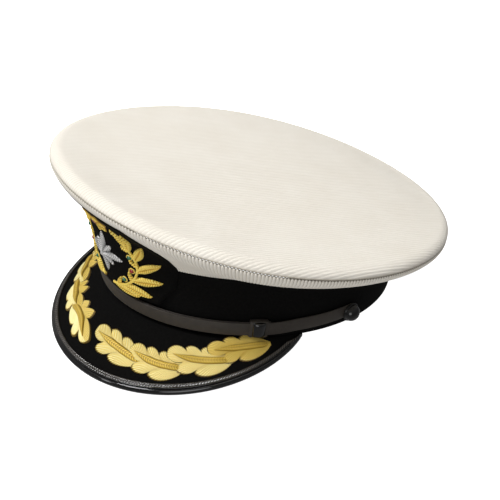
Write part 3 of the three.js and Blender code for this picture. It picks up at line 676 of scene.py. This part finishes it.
def make_binding():
    """The patent leather binding: a rolled edge, and a flange on the peak's upper and lower face."""
    guide = np.linspace(-PEAK_EDGE.end, PEAK_EDGE.end, 2001)
    run = travelled(peak_point(guide, 1.0))
    per_stitch = 6
    count = int(run[-1] / LADDER.pitch) * per_stitch
    spot = np.linspace(0.0, run[-1], count + 1)[:, None]
    turn = np.interp(spot, run, guide)
    reach = peak_reach(turn)
    thin = np.clip(reach / BINDING_END.thin_from, BINDING_END.thinnest, 1.0)
    depth = BINDING.roll * thin
    flange = np.maximum(np.minimum(BINDING.flange, BINDING.flange_share * reach) - depth, BINDING.least)
    inwards = np.linspace(1.0, 0.0, 25)[None, :-1]
    rise, stitches = binding_flange(spot, inwards, flange)
    fold = np.linspace(np.pi / 2, -np.pi / 2, 17)[None]
    under = np.linspace(0.0, 1.0, 9)[None, 1:]
    along = np.concatenate([-flange * inwards, depth * np.cos(fold), -flange * under], axis=1)
    up = np.concatenate([depth + thin * rise, depth * np.sin(fold), -depth * np.ones(under.shape)], axis=1)
    wide = np.broadcast_to(turn, along.shape)
    points = binding_place(wide, along, up, np.broadcast_to(depth, along.shape))
    relief = np.zeros(along.shape)
    relief[:, : stitches.shape[1]] = stitches
    Patch().grid(points, relief).build("peak_binding_leather", PATENT, "patent_leather", ["peak_binding"])


# Lobes along each side of an oak leaf, from the tip to the foot: shares of the length, and millimetres from
# the midrib. The inner side lies towards the band.
ROUND_LOBES = (
    [(1.07, 0.0), (1.07, 3.0), (1.0, 5.8), (0.9, 6.6), (0.81, 5.6), (0.755, 3.6)],
    [(0.8, 6.6), (0.74, 8.4), (0.65, 8.6), (0.57, 7.2), (0.505, 4.6)],
    [(0.53, 7.2), (0.46, 8.8), (0.36, 8.6), (0.25, 6.8), (0.13, 4.6), (0.0, 1.6)],
)
POINTED_LOBES = (
    [(1.07, 0.0), (1.06, 2.2), (1.0, 4.2), (0.9, 5.0), (0.8, 5.0), (0.7, 4.2), (0.64, 3.4)],
    [(0.68, 5.4), (0.66, 8.4), (0.62, 10.4), (0.56, 9.4), (0.48, 6.6), (0.42, 4.6)],
    [(0.45, 6.2), (0.42, 8.4), (0.37, 9.6), (0.3, 8.0), (0.2, 5.2), (0.1, 3.2), (0.0, 1.6)],
)
OUTER_LOBES = (
    [(1.07, 0.0), (1.05, -2.4), (0.98, -4.2), (0.88, -4.6), (0.78, -3.4)],
    [(0.86, -7.2), (0.84, -9.6), (0.76, -10.6), (0.65, -9.6), (0.555, -6.4)],
    [(0.58, -8.6), (0.5, -10.2), (0.38, -10.2), (0.24, -8.4), (0.11, -5.4), (0.0, -1.6)],
)
# Oak leaves: tip and base by the share of the peak's half angle and of its width, the bow of the middle
# towards the peak's edge, breadth, inner lobes, and the painted light and shade on the inner and outer halves
OAK_LEAVES = (
    ("left_1", (0.035, 0.475), (0.295, 0.6), -0.02, 1.0, ROUND_LOBES, (0.92, 0.94)),
    ("left_2", (0.238, 0.475), (0.475, 0.595), 0.03, 1.0, ROUND_LOBES, (0.86, 0.9)),
    ("left_3", (0.402, 0.395), (0.665, 0.49), 0.023, 0.98, ROUND_LOBES, (0.88, 0.86)),
    ("left_4", (0.57, 0.3), (0.83, 0.255), -0.02, 0.9, ROUND_LOBES, (0.56, 0.52)),
    ("right_1", (0.005, 0.68), (-0.24, 0.6), -0.115, 0.98, POINTED_LOBES, (0.68, 1.0)),
    ("right_2", (-0.175, 0.51), (-0.39, 0.5), 0.0, 1.0, POINTED_LOBES, (0.6, 1.0)),
    ("right_3", (-0.335, 0.38), (-0.585, 0.465), 0.0, 0.96, POINTED_LOBES, (0.6, 0.96)),
    ("right_4", (-0.53, 0.36), (-0.79, 0.265), 0.0, 0.9, POINTED_LOBES, (0.6, 0.9)),
)
OAK = Sizes(length=35.0, ridge=2.4, edge=0.8, foot=0.4, foot_end=0.32, sink=0.2)
OAK_TIP = Sizes(lift=1.3, start=0.45, ease=0.35)
SATIN = Sizes(pitch=1.5, depth=0.35, per_stitch=7, spine_end=0.86, spine_lag=1.2, roundness=24, fray=0.05)
# Satin tone: painted shade in the furrows, and a painted shadow on the wall round each leaf
SATIN_TONE = Sizes(furrow=0.36, wall=0.05, wall_from=0.935)
SATIN_ROWS = (0.0, 0.25, 0.5, 0.7, 0.82, 0.9, 0.94, 0.965, 0.985, 1.0)
MIDRIB = Sizes(end=0.96, half=2.4, height=0.9, taper=0.32, pitch=1.5, depth=0.32, slant=0.9, point=0.8)
MIDRIB_FOOT = Sizes(width=0.6, end=0.18, round_end=0.1, least=0.03)
# Midrib: painted shade in dashes along the borders and down the middle groove, and how far the borders sink
MIDRIB_TONE = Sizes(border=0.5, dash=1.5, dashes=0.4, middle=0.14, dark=0.4, sink=0.6)


def lobed_edge(lobes):
    """The outline of one side of a leaf, as evenly spaced points, and the stitch that each belongs to."""
    line = np.vstack([smooth_line(lobe) for lobe in lobes])
    run = travelled(line * np.array([OAK.length, 1.0]))
    count = int(run[-1] / SATIN.pitch * SATIN.per_stitch)
    even = np.linspace(0.0, run[-1], count)
    edge = np.stack([np.interp(even, run, line[:, k]) for k in (0, 1)], axis=-1)
    return edge, even / SATIN.pitch


def leaf_place(leaf, share, aside):
    """Places on the peak, by the share of a leaf's length and millimetres inwards of its midrib."""
    share, aside = np.broadcast_arrays(share, aside)
    held = np.pi * np.clip(share, 0.0, 1.0)
    u = mix(leaf.base[0], leaf.tip[0], share)
    v = mix(leaf.base[1], leaf.tip[1], share) + leaf.bow * np.sin(held)
    turn = leaf.tip[0] - leaf.base[0]
    climb = leaf.tip[1] - leaf.base[1] + np.pi * leaf.bow * np.cos(held)
    _, along_u, along_v, normal = surface_frame(PEAK_SURFACE, u, v)
    forward = unit(along_u * turn + along_v * climb[..., None])
    step = np.cross(normal, forward) * (math.copysign(1.0, turn) * aside)[..., None]
    uu, uv, vv = dot(along_u, along_u), dot(along_u, along_v), dot(along_v, along_v)
    su, sv = dot(step, along_u), dot(step, along_v)
    det = uu * vv - uv * uv
    return u + ((su * vv - sv * uv) / det)[..., 0], v + ((sv * uu - su * uv) / det)[..., 0]


def leaf_ridge(share):
    """The share of a leaf's height, low at its foot, and the lift of its tip over the next leaf's foot."""
    body = mix(OAK.foot, 1.0, smoothstep(share, 0.0, OAK.foot_end))
    return body, OAK_TIP.lift * smoothstep(share, OAK_TIP.start, 1.0)


def satin_tone(rows, relief, painted_light):
    """Painted highlight on the threads and painted shade in their furrows, with a painted shadow as a dark
    wall round the leaf.
    """
    tone = mix(SATIN_TONE.furrow, 1.0, relief)
    return painted_light * np.where(rows > SATIN_TONE.wall_from, SATIN_TONE.wall, tone)


def make_oak_leaf(name, tip, base, bow, swell, inner, painted_half_light):
    """One satin stitched leaf, ridged like a low roof, with its midrib."""
    leaf = Sizes(name=name, tip=tip, base=base, bow=bow, swell=swell)
    rows = np.array(SATIN_ROWS)[:, None]
    patch = Patch()
    for lobes, painted_light in zip((inner, OUTER_LOBES), painted_half_light):
        edge, stitch = lobed_edge(lobes)
        spine = SATIN.spine_end * np.linspace(1.0, 0.0, len(edge))[None] ** SATIN.spine_lag
        share = mix(spine, edge[None, :, 0], rows)
        relief = rib_profile(stitch)[None] ** 2 * np.ones(rows.shape)
        frayed = edge[None, :, 1] * (1.0 - SATIN.fray * (1.0 - relief))
        body, lift = leaf_ridge(share)
        height = mix(OAK.ridge, OAK.edge, rows) * body * np.sqrt(1.0 - rows**SATIN.roundness)
        height = height - SATIN.depth * (1.0 - relief) * (rows > 0.0) - OAK.sink
        height = height + lift * (1.0 - OAK_TIP.ease * rows**2) * (rows < 1.0)
        u, v = leaf_place(leaf, share, swell * frayed * rows)
        patch.grid(raised(PEAK_SURFACE, u, v, height), satin_tone(rows, relief, painted_light))
    patch.build(f"peak_leaf_{name}_satin", GOLD, "gold_thread", [f"peak_leaf_{name}"])
    make_midrib(leaf)


def make_midrib(leaf):
    """The braided cord along the middle of a leaf, with painted shade in dark dashes along its borders and
    down its middle.
    """
    share = np.linspace(0.0, MIDRIB.end, 240)[:, None]
    across = np.linspace(-1.0, 1.0, 15)[None]
    foot = smoothstep(share, 0.0, MIDRIB_FOOT.end)
    pointed = np.clip((MIDRIB.end - share) / MIDRIB.taper, 0.0, 1.0) ** MIDRIB.point
    rounded = np.sqrt(smoothstep(share, 0.0, MIDRIB_FOOT.round_end)) * mix(MIDRIB_FOOT.width, 1.0, foot)
    half = leaf.swell * MIDRIB.half * np.maximum(MIDRIB_FOOT.least, pointed * rounded)
    length = share * OAK.length
    braid = rib_profile(length / MIDRIB.pitch + MIDRIB.slant * np.abs(across))
    dashes = MIDRIB_TONE.dashes * rib_profile(length / MIDRIB_TONE.dash)
    border = smoothstep(np.abs(across), MIDRIB_TONE.border, 1.0)
    body, lift = leaf_ridge(share)
    height = OAK.ridge * body + lift - OAK.sink - MIDRIB_TONE.sink * border
    height = height + MIDRIB.height * foot * np.sqrt(1.0 - across**4) * np.minimum(1.0, half)
    height = height - MIDRIB.depth * (1.0 - braid)
    u, v = leaf_place(leaf, share, half * across)
    # Painted shade down the middle of the cord
    groove = 1.0 - MIDRIB_TONE.dark * bell(across, MIDRIB_TONE.middle)
    patch = Patch().grid(raised(PEAK_SURFACE, u, v, height), mix(braid, dashes, border) * groove)
    patch.build(f"peak_leaf_{leaf.name}_midrib", GOLD_DEEP, "gold_thread")


# Chin strap
END_TURN = math.degrees(STRAP_END.past / BAND.half_length)
BUTTON_END = BUTTON.angle + END_TURN
KEEPER_END = KEEPER.angle + STRAP_END.past_keeper


def strap_foot(angle):
    return STRAP.side_height + STRAP.front_dip * np.sin(np.radians(angle))


def strap_place(angle, along, out, up):
    """Places by the strap at an angle: millimetres along it, out from the band and up from its middle."""
    angle, along = paired(angle, along)
    outward = band_normal(angle)
    ahead = np.cross(UP, outward)
    middle = band_point(angle, strap_foot(angle) + STRAP.width / 2)
    step = outward * np.asarray(out)[..., None] + ahead * along[..., None]
    return middle + step + UP * np.asarray(up)[..., None]


def make_strap(name, start, stop, buttoned, keeper, layer):
    """A leather strap with soft edges, round at its buttoned end, with a hole punched by its keeper."""
    angle = np.linspace(start, stop, 260)[:, None]
    short = np.maximum(0.0, 1.0 - np.abs(angle - buttoned) / END_TURN)
    half = STRAP.width / 2 * np.maximum(np.sqrt(np.maximum(0.0, 1.0 - short**2)), STRAP_END.least)
    middle = strap_foot(angle) + STRAP.width / 2
    back = layer(angle)
    up, out = soft_oblong((middle - half, back), (middle + half, back + STRAP.wall), STRAP.soft, 4)
    points = band_point(np.broadcast_to(angle, up.shape), up, out)
    patch = Patch().grid(points, round_columns=True)
    add_strap_hole(patch, keeper, layer)
    patch.build(f"{name}_leather", LEATHER, "strap_leather", [name])


def add_strap_hole(patch, keeper, layer):
    """A small dark hole in the face of a strap, on the front side of a keeper."""
    towards_front = -1.0 if keeper > FRONT else 1.0
    turn = full_turn(12)[None]
    share = np.array(STRAP_HOLE.rings)[:, None]
    along = towards_front * STRAP_HOLE.before + STRAP_HOLE.radius * share * np.cos(turn)
    up = STRAP_HOLE.radius * share * np.sin(turn)
    angle = np.full(along.shape, keeper)
    out = layer(angle) + STRAP.wall + STRAP_HOLE.proud
    patch.grid(strap_place(angle, along, out, up), 0.0, round_columns=True)


def outer_layer(angle):
    """How far out the outer strap lies: over the inner one, then settling against the band."""
    start, stop = (KEEPER_END + turn for turn in STRAP_END.settle)
    return mix(LAYER.outer, LAYER.inner, smoothstep(angle, start, stop))


def inner_layer(angle):
    return np.full(angle.shape, LAYER.inner)


def make_straps():
    far_keeper, far_end, far_button = map(mirror_angle, (KEEPER.angle, KEEPER_END, BUTTON_END))
    make_strap("chin_strap_outer", far_end, BUTTON_END, BUTTON_END, far_keeper, outer_layer)
    make_strap("chin_strap_inner", far_button, KEEPER_END, far_button, KEEPER.angle, inner_layer)


def squared(value):
    """A sine or cosine of a circle, pushed out to a rounded oblong."""
    return np.sign(value) * np.abs(value) ** LOOP.corner


def keeper_loop(angle, sizes):
    """One loop of a keeper: rings of a rounded oblong round both straps, swelling outwards in the middle."""
    face = LAYER.outer + STRAP.wall + GAP
    half_out, half_up = (face - GAP) / 2, sizes.tall / 2
    turn = full_turn(56)[None]
    spot = np.linspace(-1.0, 1.0, 21)[:, None]
    thick = sizes.wall * np.sqrt(np.maximum(0.0, 1.0 - np.abs(spot) ** LOOP.end))
    out = GAP + half_out + (half_out + thick - LOOP.sink) * squared(np.cos(turn))
    bulge = sizes.bulge * (1.0 - spot**2) * (1.0 - LOOP.ease * np.abs(np.sin(turn)) ** LOOP.focus)
    out = out + bulge * (np.cos(turn) > 0.0)
    up = (half_up - sizes.wall + thick) * squared(np.sin(turn))
    along = np.broadcast_to(spot * sizes.length / 2, out.shape)
    return strap_place(np.full(out.shape, angle), along, out, up)


def make_keeper(word, angle):
    barrel = Patch().grid(keeper_loop(angle, KEEPER), 0.0, round_columns=True)
    barrel.build(f"strap_keeper_{word}_barrel", PATENT, "patent_leather", [f"strap_keeper_{word}"])
    collar = Patch().grid(keeper_loop(angle, COLLAR), round_columns=True)
    collar.build(f"strap_keeper_{word}_collar", LEATHER, "strap_leather")


def make_button(word, angle):
    """A domed button with a thin rim, on its shank."""
    back = LAYER.inner + STRAP.wall + GAP
    seat, inner = back + BUTTON.rim, BUTTON.radius - BUTTON.lip
    section = [(GAP, BUTTON.shank), (back, BUTTON.shank), (back, inner), (back + BUTTON.lip, BUTTON.radius)]
    section += [(seat, BUTTON.radius), (seat + BUTTON.step, inner)]
    for turn in np.linspace(0.0, np.pi / 2, 16):
        section.append((seat + (BUTTON.height - BUTTON.rim) * math.sin(turn), inner * math.cos(turn)))
    section = np.array(section)
    turn = full_turn(48)[None]
    out = np.broadcast_to(section[:, :1], (len(section), turn.size))
    along, up = section[:, 1:] * np.cos(turn), section[:, 1:] * np.sin(turn) - BUTTON.drop
    points = strap_place(np.full(out.shape, angle), along, out, up)
    patch = Patch().grid(points, round_columns=True)
    patch.build(f"strap_button_{word}_dome", GLOSS, "black_button", [f"strap_button_{word}"])


# Badge: half the backing's width at shares of the way up it
BACKING = Sizes(
    up=(0.0, 0.1, 0.25, 0.42, 0.57, 0.74, 0.84, 0.92, 1.0),
    half=(37.0, 40.0, 46.5, 47.0, 45.0, 43.5, 41.5, 37.0, 29.0),
)
# Leaves of a branch: where each springs from it, how far it leans out, and its length
SPRIG_LEAVES = (
    (0.06, 20, 18.0), (0.09, -50, 8.0), (0.22, 42, 18.5), (0.37, -52, 7.5),
    (0.4, 46, 18.5), (0.58, 46, 17.5), (0.64, -50, 7.0), (0.76, 42, 16.0),
    (0.88, -46, 6.5), (0.9, 34, 14.0), (0.98, -2, 11.0),
)
SPRIG = Sizes(across=3.0, up=27.0, reach=22.0, start=-86.0, stop=46.0, step=0.01)
SPRIG_LEAF = Sizes(width=0.36, start=0.06, fullness=0.8, sweep=0.5, groove=0.45, dark=0.7, narrow=0.9)
STEM = Sizes(radius=0.9, height=0.8, sides=12, twist=1.3, depth=0.28)
BULLION = Sizes(pitch=1.4, depth=0.45, arch=1.6, furrow=0.16, fray=0.36, chevron=1.4, valley=0.6)
STAR = Sizes(up=26.0, rays=(15.0, 5.0, 10.0, 5.0), turns=4, hole=0.0, edge=0.6, peak=2.6)
ROSETTE = Sizes(up=50.0, rays=(8.6, 6.4), turns=8, hole=0.42, edge=0.6, peak=1.8)
BERRIES = ((0.27, GREEN, "green_bead"), (0.54, RED, "red_bead"), (0.79, GREEN, "green_bead"))
BERRY = Sizes(radius=1.7, height=1.8, inside=3.3)
ROSETTE_BEAD = Sizes(radius=3.0, height=2.2)
RING = Sizes(radius=0.42, height=0.45, sides=8, twist=0.9, depth=0.12, overlap=0.6)


def make_backing():
    """The padded felt backing, soft at its edge."""
    share = np.linspace(0.0, 1.0, 49)[:, None]
    half = np.interp(share, BACKING.up, BACKING.half)
    place = np.linspace(-1.0, 1.0, 61)[None]
    rise = (BADGE.top - BADGE.bottom) / math.cos(math.radians(BADGE.lean))
    across, up = np.broadcast_arrays(half * place, share * rise)
    face = badge_point(across, up)
    angle = FRONT + across / BADGE.arc
    rear = skin_point(angle, mix(BADGE.bottom, BADGE.top, np.broadcast_to(share, angle.shape)))
    rear = rear + band_normal(angle) * PADDING.margin
    edge = np.minimum(1.0 - np.abs(place), np.minimum(share, 1.0 - share))
    soft = np.minimum(1.0, edge / PADDING.soft)[..., None]
    face = mix(mix(rear, face, PADDING.edge), face, np.sqrt(soft * (2.0 - soft)))
    patch = Patch().grid(face).grid(rear, flip=True)
    for border in (np.s_[0], np.s_[-1], np.s_[:, 0], np.s_[:, -1]):
        patch.grid(np.stack([face[border], rear[border]]))
    piece = patch.build("badge_backing_felt", FELT, "black_felt", ["badge_backing"])


def sprig_place(side, along, inside=0.0):
    """The line of a badge branch in millimetres across and up, from its foot to its head."""
    sweep = np.radians(mix(SPRIG.start, SPRIG.stop, along))
    reach = SPRIG.reach - inside
    return side * (SPRIG.across + reach * np.cos(sweep)), SPRIG.up + reach * np.sin(sweep)


def stitched_leaf(patch, base, tip, half):
    """A pointed leaf of slanted stitches on each side of a middle furrow, frayed along its edge."""
    length = math.dist(base, tip)
    stitches = round(length / BULLION.pitch)
    share = np.linspace(0.0, 1.0, stitches * 5 + 1)[:, None]
    across = np.linspace(-1.0, 1.0, 13)[None]
    heading = ((tip[0] - base[0]) / length, (tip[1] - base[1]) / length)
    relief = rib_profile(share * stitches)
    bow = np.sin(np.pi * mix(SPRIG_LEAF.start, 1.0, share)) ** SPRIG_LEAF.fullness
    width = half * bow * (1.0 - BULLION.fray * (1.0 - relief) * np.abs(across) ** 3)
    forward = share * length - SPRIG_LEAF.sweep * np.abs(across) * width
    u = base[0] + heading[0] * forward - heading[1] * across * width
    v = base[1] + heading[1] * forward + heading[0] * across * width
    middle = bell(across, BULLION.furrow)
    arch = np.sqrt(np.maximum(0.0, 1.0 - np.abs(across) ** 3)) - SPRIG_LEAF.groove * middle
    crown = BULLION.arch * arch * np.minimum(1.0, width / SPRIG_LEAF.narrow)
    height = BADGE.lift + crown - BULLION.depth * (1.0 - relief)
    # Painted shade down the leaf's middle furrow
    patch.grid(raised(BADGE_SURFACE, u, v, height), relief * (1.0 - SPRIG_LEAF.dark * middle))


def make_sprig(word, side):
    """A branch of gold leaves with its corded stem."""
    patch = Patch()
    u, v = sprig_place(side, np.linspace(0.0, 1.0, 240))
    points, relief = tube(raised(BADGE_SURFACE, u, v, np.full(u.shape, STEM.height)), STEM)
    patch.grid(points, relief, round_columns=True)
    for start, lean, length in SPRIG_LEAVES:
        base, ahead = sprig_place(side, start), sprig_place(side, start + SPRIG.step)
        heading = math.atan2(ahead[1] - base[1], ahead[0] - base[0]) - side * math.radians(lean)
        tip = (base[0] + length * math.cos(heading), base[1] + length * math.sin(heading))
        stitched_leaf(patch, base, tip, length * SPRIG_LEAF.width / 2)
    patch.build(f"badge_sprig_{word}_bullion", GOLD_BADGE, "gold_thread", [f"badge_sprig_{word}"])


def make_rays(name, sizes, material, slot):
    """Ridged rays round a middle, stitched across. With a hole they make a ring."""
    count = len(sizes.rays) * sizes.turns
    fine = 12
    turn = full_turn(count * fine)[:, None] + np.pi / 2
    share = np.linspace(sizes.hole, 1.0, 61)[None]
    corner = np.arange(count * fine) / fine
    reach = np.interp(corner, np.arange(count + 1), np.resize(sizes.rays, count + 1))[:, None]
    inner = sizes.hole * sizes.rays[0]
    outward = (share - sizes.hole) / (1.0 - sizes.hole)
    radius = mix(inner, reach, outward)
    valley = np.abs((corner + 1.0) % 2.0 - 1.0)[:, None]
    relief = rib_profile(radius / BULLION.pitch + BULLION.chevron * valley) ** 2
    height = mix(sizes.peak, sizes.edge, outward) - BULLION.depth * (1.0 - relief) + BADGE.lift
    # Painted shade, darker towards the valleys between the rays
    relief = relief * (1.0 - BULLION.valley * valley**2)
    height = np.where((outward >= 1.0) | ((outward <= 0.0) & (sizes.hole > 0.0)), 0.0, height)
    u, v = round_place((0.0, sizes.up), radius, turn)
    patch = Patch().grid(raised(BADGE_SURFACE, u, v, height), relief, round_rows=True)
    patch.build(f"{name}_bullion", material, slot, [name])


def make_bead(name, centre, sizes, material, slot):
    """A round bead in a small ring of gold cord."""
    dome = np.linspace(0.0, np.pi / 2, 9)[:, None]
    turn = full_turn(24)[None]
    radius = (sizes.radius - RING.overlap * RING.radius) * np.cos(dome)
    u, v = round_place(centre, radius, turn)
    height = np.broadcast_to(BADGE.lift + sizes.height * np.sin(dome), u.shape)
    bead_patch = Patch().grid(raised(BADGE_SURFACE, u, v, height), round_columns=True)
    bead_patch.build(f"{name}_gem", material, slot, [name])
    u, v = round_place(centre, sizes.radius, np.linspace(0.0, 2 * np.pi, 61))
    points, relief = tube(raised(BADGE_SURFACE, u, v, np.full(u.shape, RING.height)), RING)
    ring = Patch().grid(points, relief, round_columns=True)
    ring.build(f"{name}_ring", GOLD_BADGE, "gold_thread")


# Light, floor and camera
CAMERA = Sizes(azimuth=49.87, elevation=29.33, roll=8.58, distance=856.0, focal=1337.4)
CAMERA_TARGET = Sizes(height=60.0, right=-8.27, up=-41.33)
PICTURE = 500.0
SENSOR = 36.0
CLIP = (0.05, 50.0)
FLOOR = Sizes(half=6.0, glow=1.0)
# Brightness of the studio, from below to above
WORLD = ((0.0, 0.3), (0.5, 0.14), (1.0, 0.36))
AIM = Vector((0.0, 0.0, 0.06))
# Lights: name, place, width and height in metres, power, colour, and whether each shows in gloss
LIGHTS = (
    ("key", (-0.25, -1.0, 1.55), (0.5, 0.5), 18.5, WHITE, True),
    ("overhead", (0.0, 0.3, 1.8), (1.4, 1.4), 17.0, WHITE, True),
    ("left", (-1.6, -0.4, 0.6), (0.6, 0.6), 1.0, (1.0, 0.93, 0.84), True),
    ("strip", (-0.6, -1.5, 0.75), (1.2, 0.06), 1.0, WHITE, True),
    ("front", (-0.2, -1.6, 0.35), (0.25, 0.25), 1.0, WHITE, True),
    ("right", (1.1, -1.0, 0.3), (0.9, 0.9), 4.0, WHITE, True),
    ("table", (0.6, -0.9, -0.6), (1.2, 1.2), 4.5, WHITE, False),
)


def make_camera():
    """The photograph's camera, given in the cap's own frame and leaned with it."""
    azimuth, elevation, roll = (math.radians(v) for v in (CAMERA.azimuth, CAMERA.elevation, CAMERA.roll))
    level = math.cos(elevation)
    back = Vector((math.sin(azimuth) * level, -math.cos(azimuth) * level, math.sin(elevation)))
    flat = Vector((math.cos(azimuth), math.sin(azimuth), 0.0))
    upright = back.cross(flat)
    right = math.cos(roll) * flat + math.sin(roll) * upright
    up = math.cos(roll) * upright - math.sin(roll) * flat
    target = Vector((0.0, 0.0, CAMERA_TARGET.height)) + right * CAMERA_TARGET.right + up * CAMERA_TARGET.up
    turn = Matrix((right, up, back)).transposed().to_4x4()
    place = Matrix.Translation((target + back * CAMERA.distance) * MM)
    seat = Matrix.Translation(Vector(SEAT) * MM) @ Matrix.Rotation(-LEAN, 4, "X")
    data = bpy.data.cameras.new("photo_camera")
    data.sensor_width = SENSOR
    data.lens = CAMERA.focal / PICTURE * SENSOR
    data.clip_start, data.clip_end = CLIP
    camera = add_object("photo_camera", data)
    camera.matrix_world = seat @ place @ turn
    bpy.context.scene.camera = camera


def make_floor():
    """A white floor that glows as a light table does, and lets the lamp below it shine up at the cap."""
    mesh = bpy.data.meshes.new("floor")
    corners = [(-1, -1), (1, -1), (1, 1), (-1, 1)]
    mesh.from_pydata([(FLOOR.half * x, FLOOR.half * y, 0.0) for x, y in corners], [], [(0, 1, 2, 3)])
    floor = add_object("floor", mesh)
    glow = dict(Emission_Color=(*WHITE, 1.0), Emission_Strength=FLOOR.glow)
    shade = Shade("floor", Specular_IOR_Level=0.1, **glow)
    tint = shade.ramp(shade.noise(400.0), (0.3, (0.88, 0.88, 0.88)), (0.7, (0.9, 0.9, 0.9)))
    mesh.materials.append(shade.finish(tint, (200.0, 0.85, 0.95)))
    floor.visible_diffuse = False
    floor.visible_glossy = False
    floor.visible_shadow = False


def make_light(name, place, size, power, colour, glossy):
    """A soft oval light, aimed at the cap."""
    data = bpy.data.lights.new(name, "AREA")
    data.shape = "ELLIPSE"
    data.size, data.size_y = size
    data.energy = power
    data.color = colour
    light = add_object(name, data)
    light.location = place
    light.visible_glossy = glossy
    light.rotation_mode = "QUATERNION"
    light.rotation_quaternion = (AIM - Vector(place)).to_track_quat("-Z", "Y")


def make_world():
    """A studio that is brighter above and below than at its walls."""
    world = bpy.data.worlds.new("studio")
    world.use_nodes = True
    nodes = Nodes(world.node_tree)
    split = nodes.add("ShaderNodeSeparateXYZ")
    nodes.link(nodes.add("ShaderNodeTexCoord").outputs["Generated"], split.inputs[0])
    rise = nodes.add("ShaderNodeMapRange", From_Min=-1.0)
    nodes.link(split.outputs["Z"], rise.inputs["Value"])
    grey = nodes.ramp(rise.outputs["Result"], *((place, (level, level, level)) for place, level in WORLD))
    nodes.link(grey, nodes.tree.nodes["Background"].inputs["Color"])
    bpy.context.scene.world = world


def make_lights():
    for row in LIGHTS:
        make_light(*row)
    make_world()
    bpy.context.scene.view_settings.view_transform = "Standard"


def sided(angle, side):
    return angle if side > 0 else mirror_angle(angle)


def make_cap():
    make_crown_top()
    make_crown_side()
    make_head_band()
    make_peak()
    make_binding()
    for row in OAK_LEAVES:
        make_oak_leaf(*row)
    make_straps()
    make_backing()
    make_rays("badge_star", STAR, SILVER, "silver_thread")
    make_rays("badge_rosette", ROSETTE, GOLD_BADGE, "gold_thread")
    make_bead("badge_rosette_bead", (0.0, ROSETTE.up), ROSETTE_BEAD, RED, "red_bead")
    for word, side in (("left", 1), ("right", -1)):
        make_keeper(word, sided(KEEPER.angle, side))
        make_button(word, sided(BUTTON.angle, side))
        make_sprig(word, side)
        for number, (along, material, slot) in enumerate(BERRIES, 1):
            centre = sprig_place(side, along, BERRY.inside)
            make_bead(f"badge_berry_{word}_{number}", centre, BERRY, material, slot)


make_camera()
make_cap()
make_floor()
make_lights()
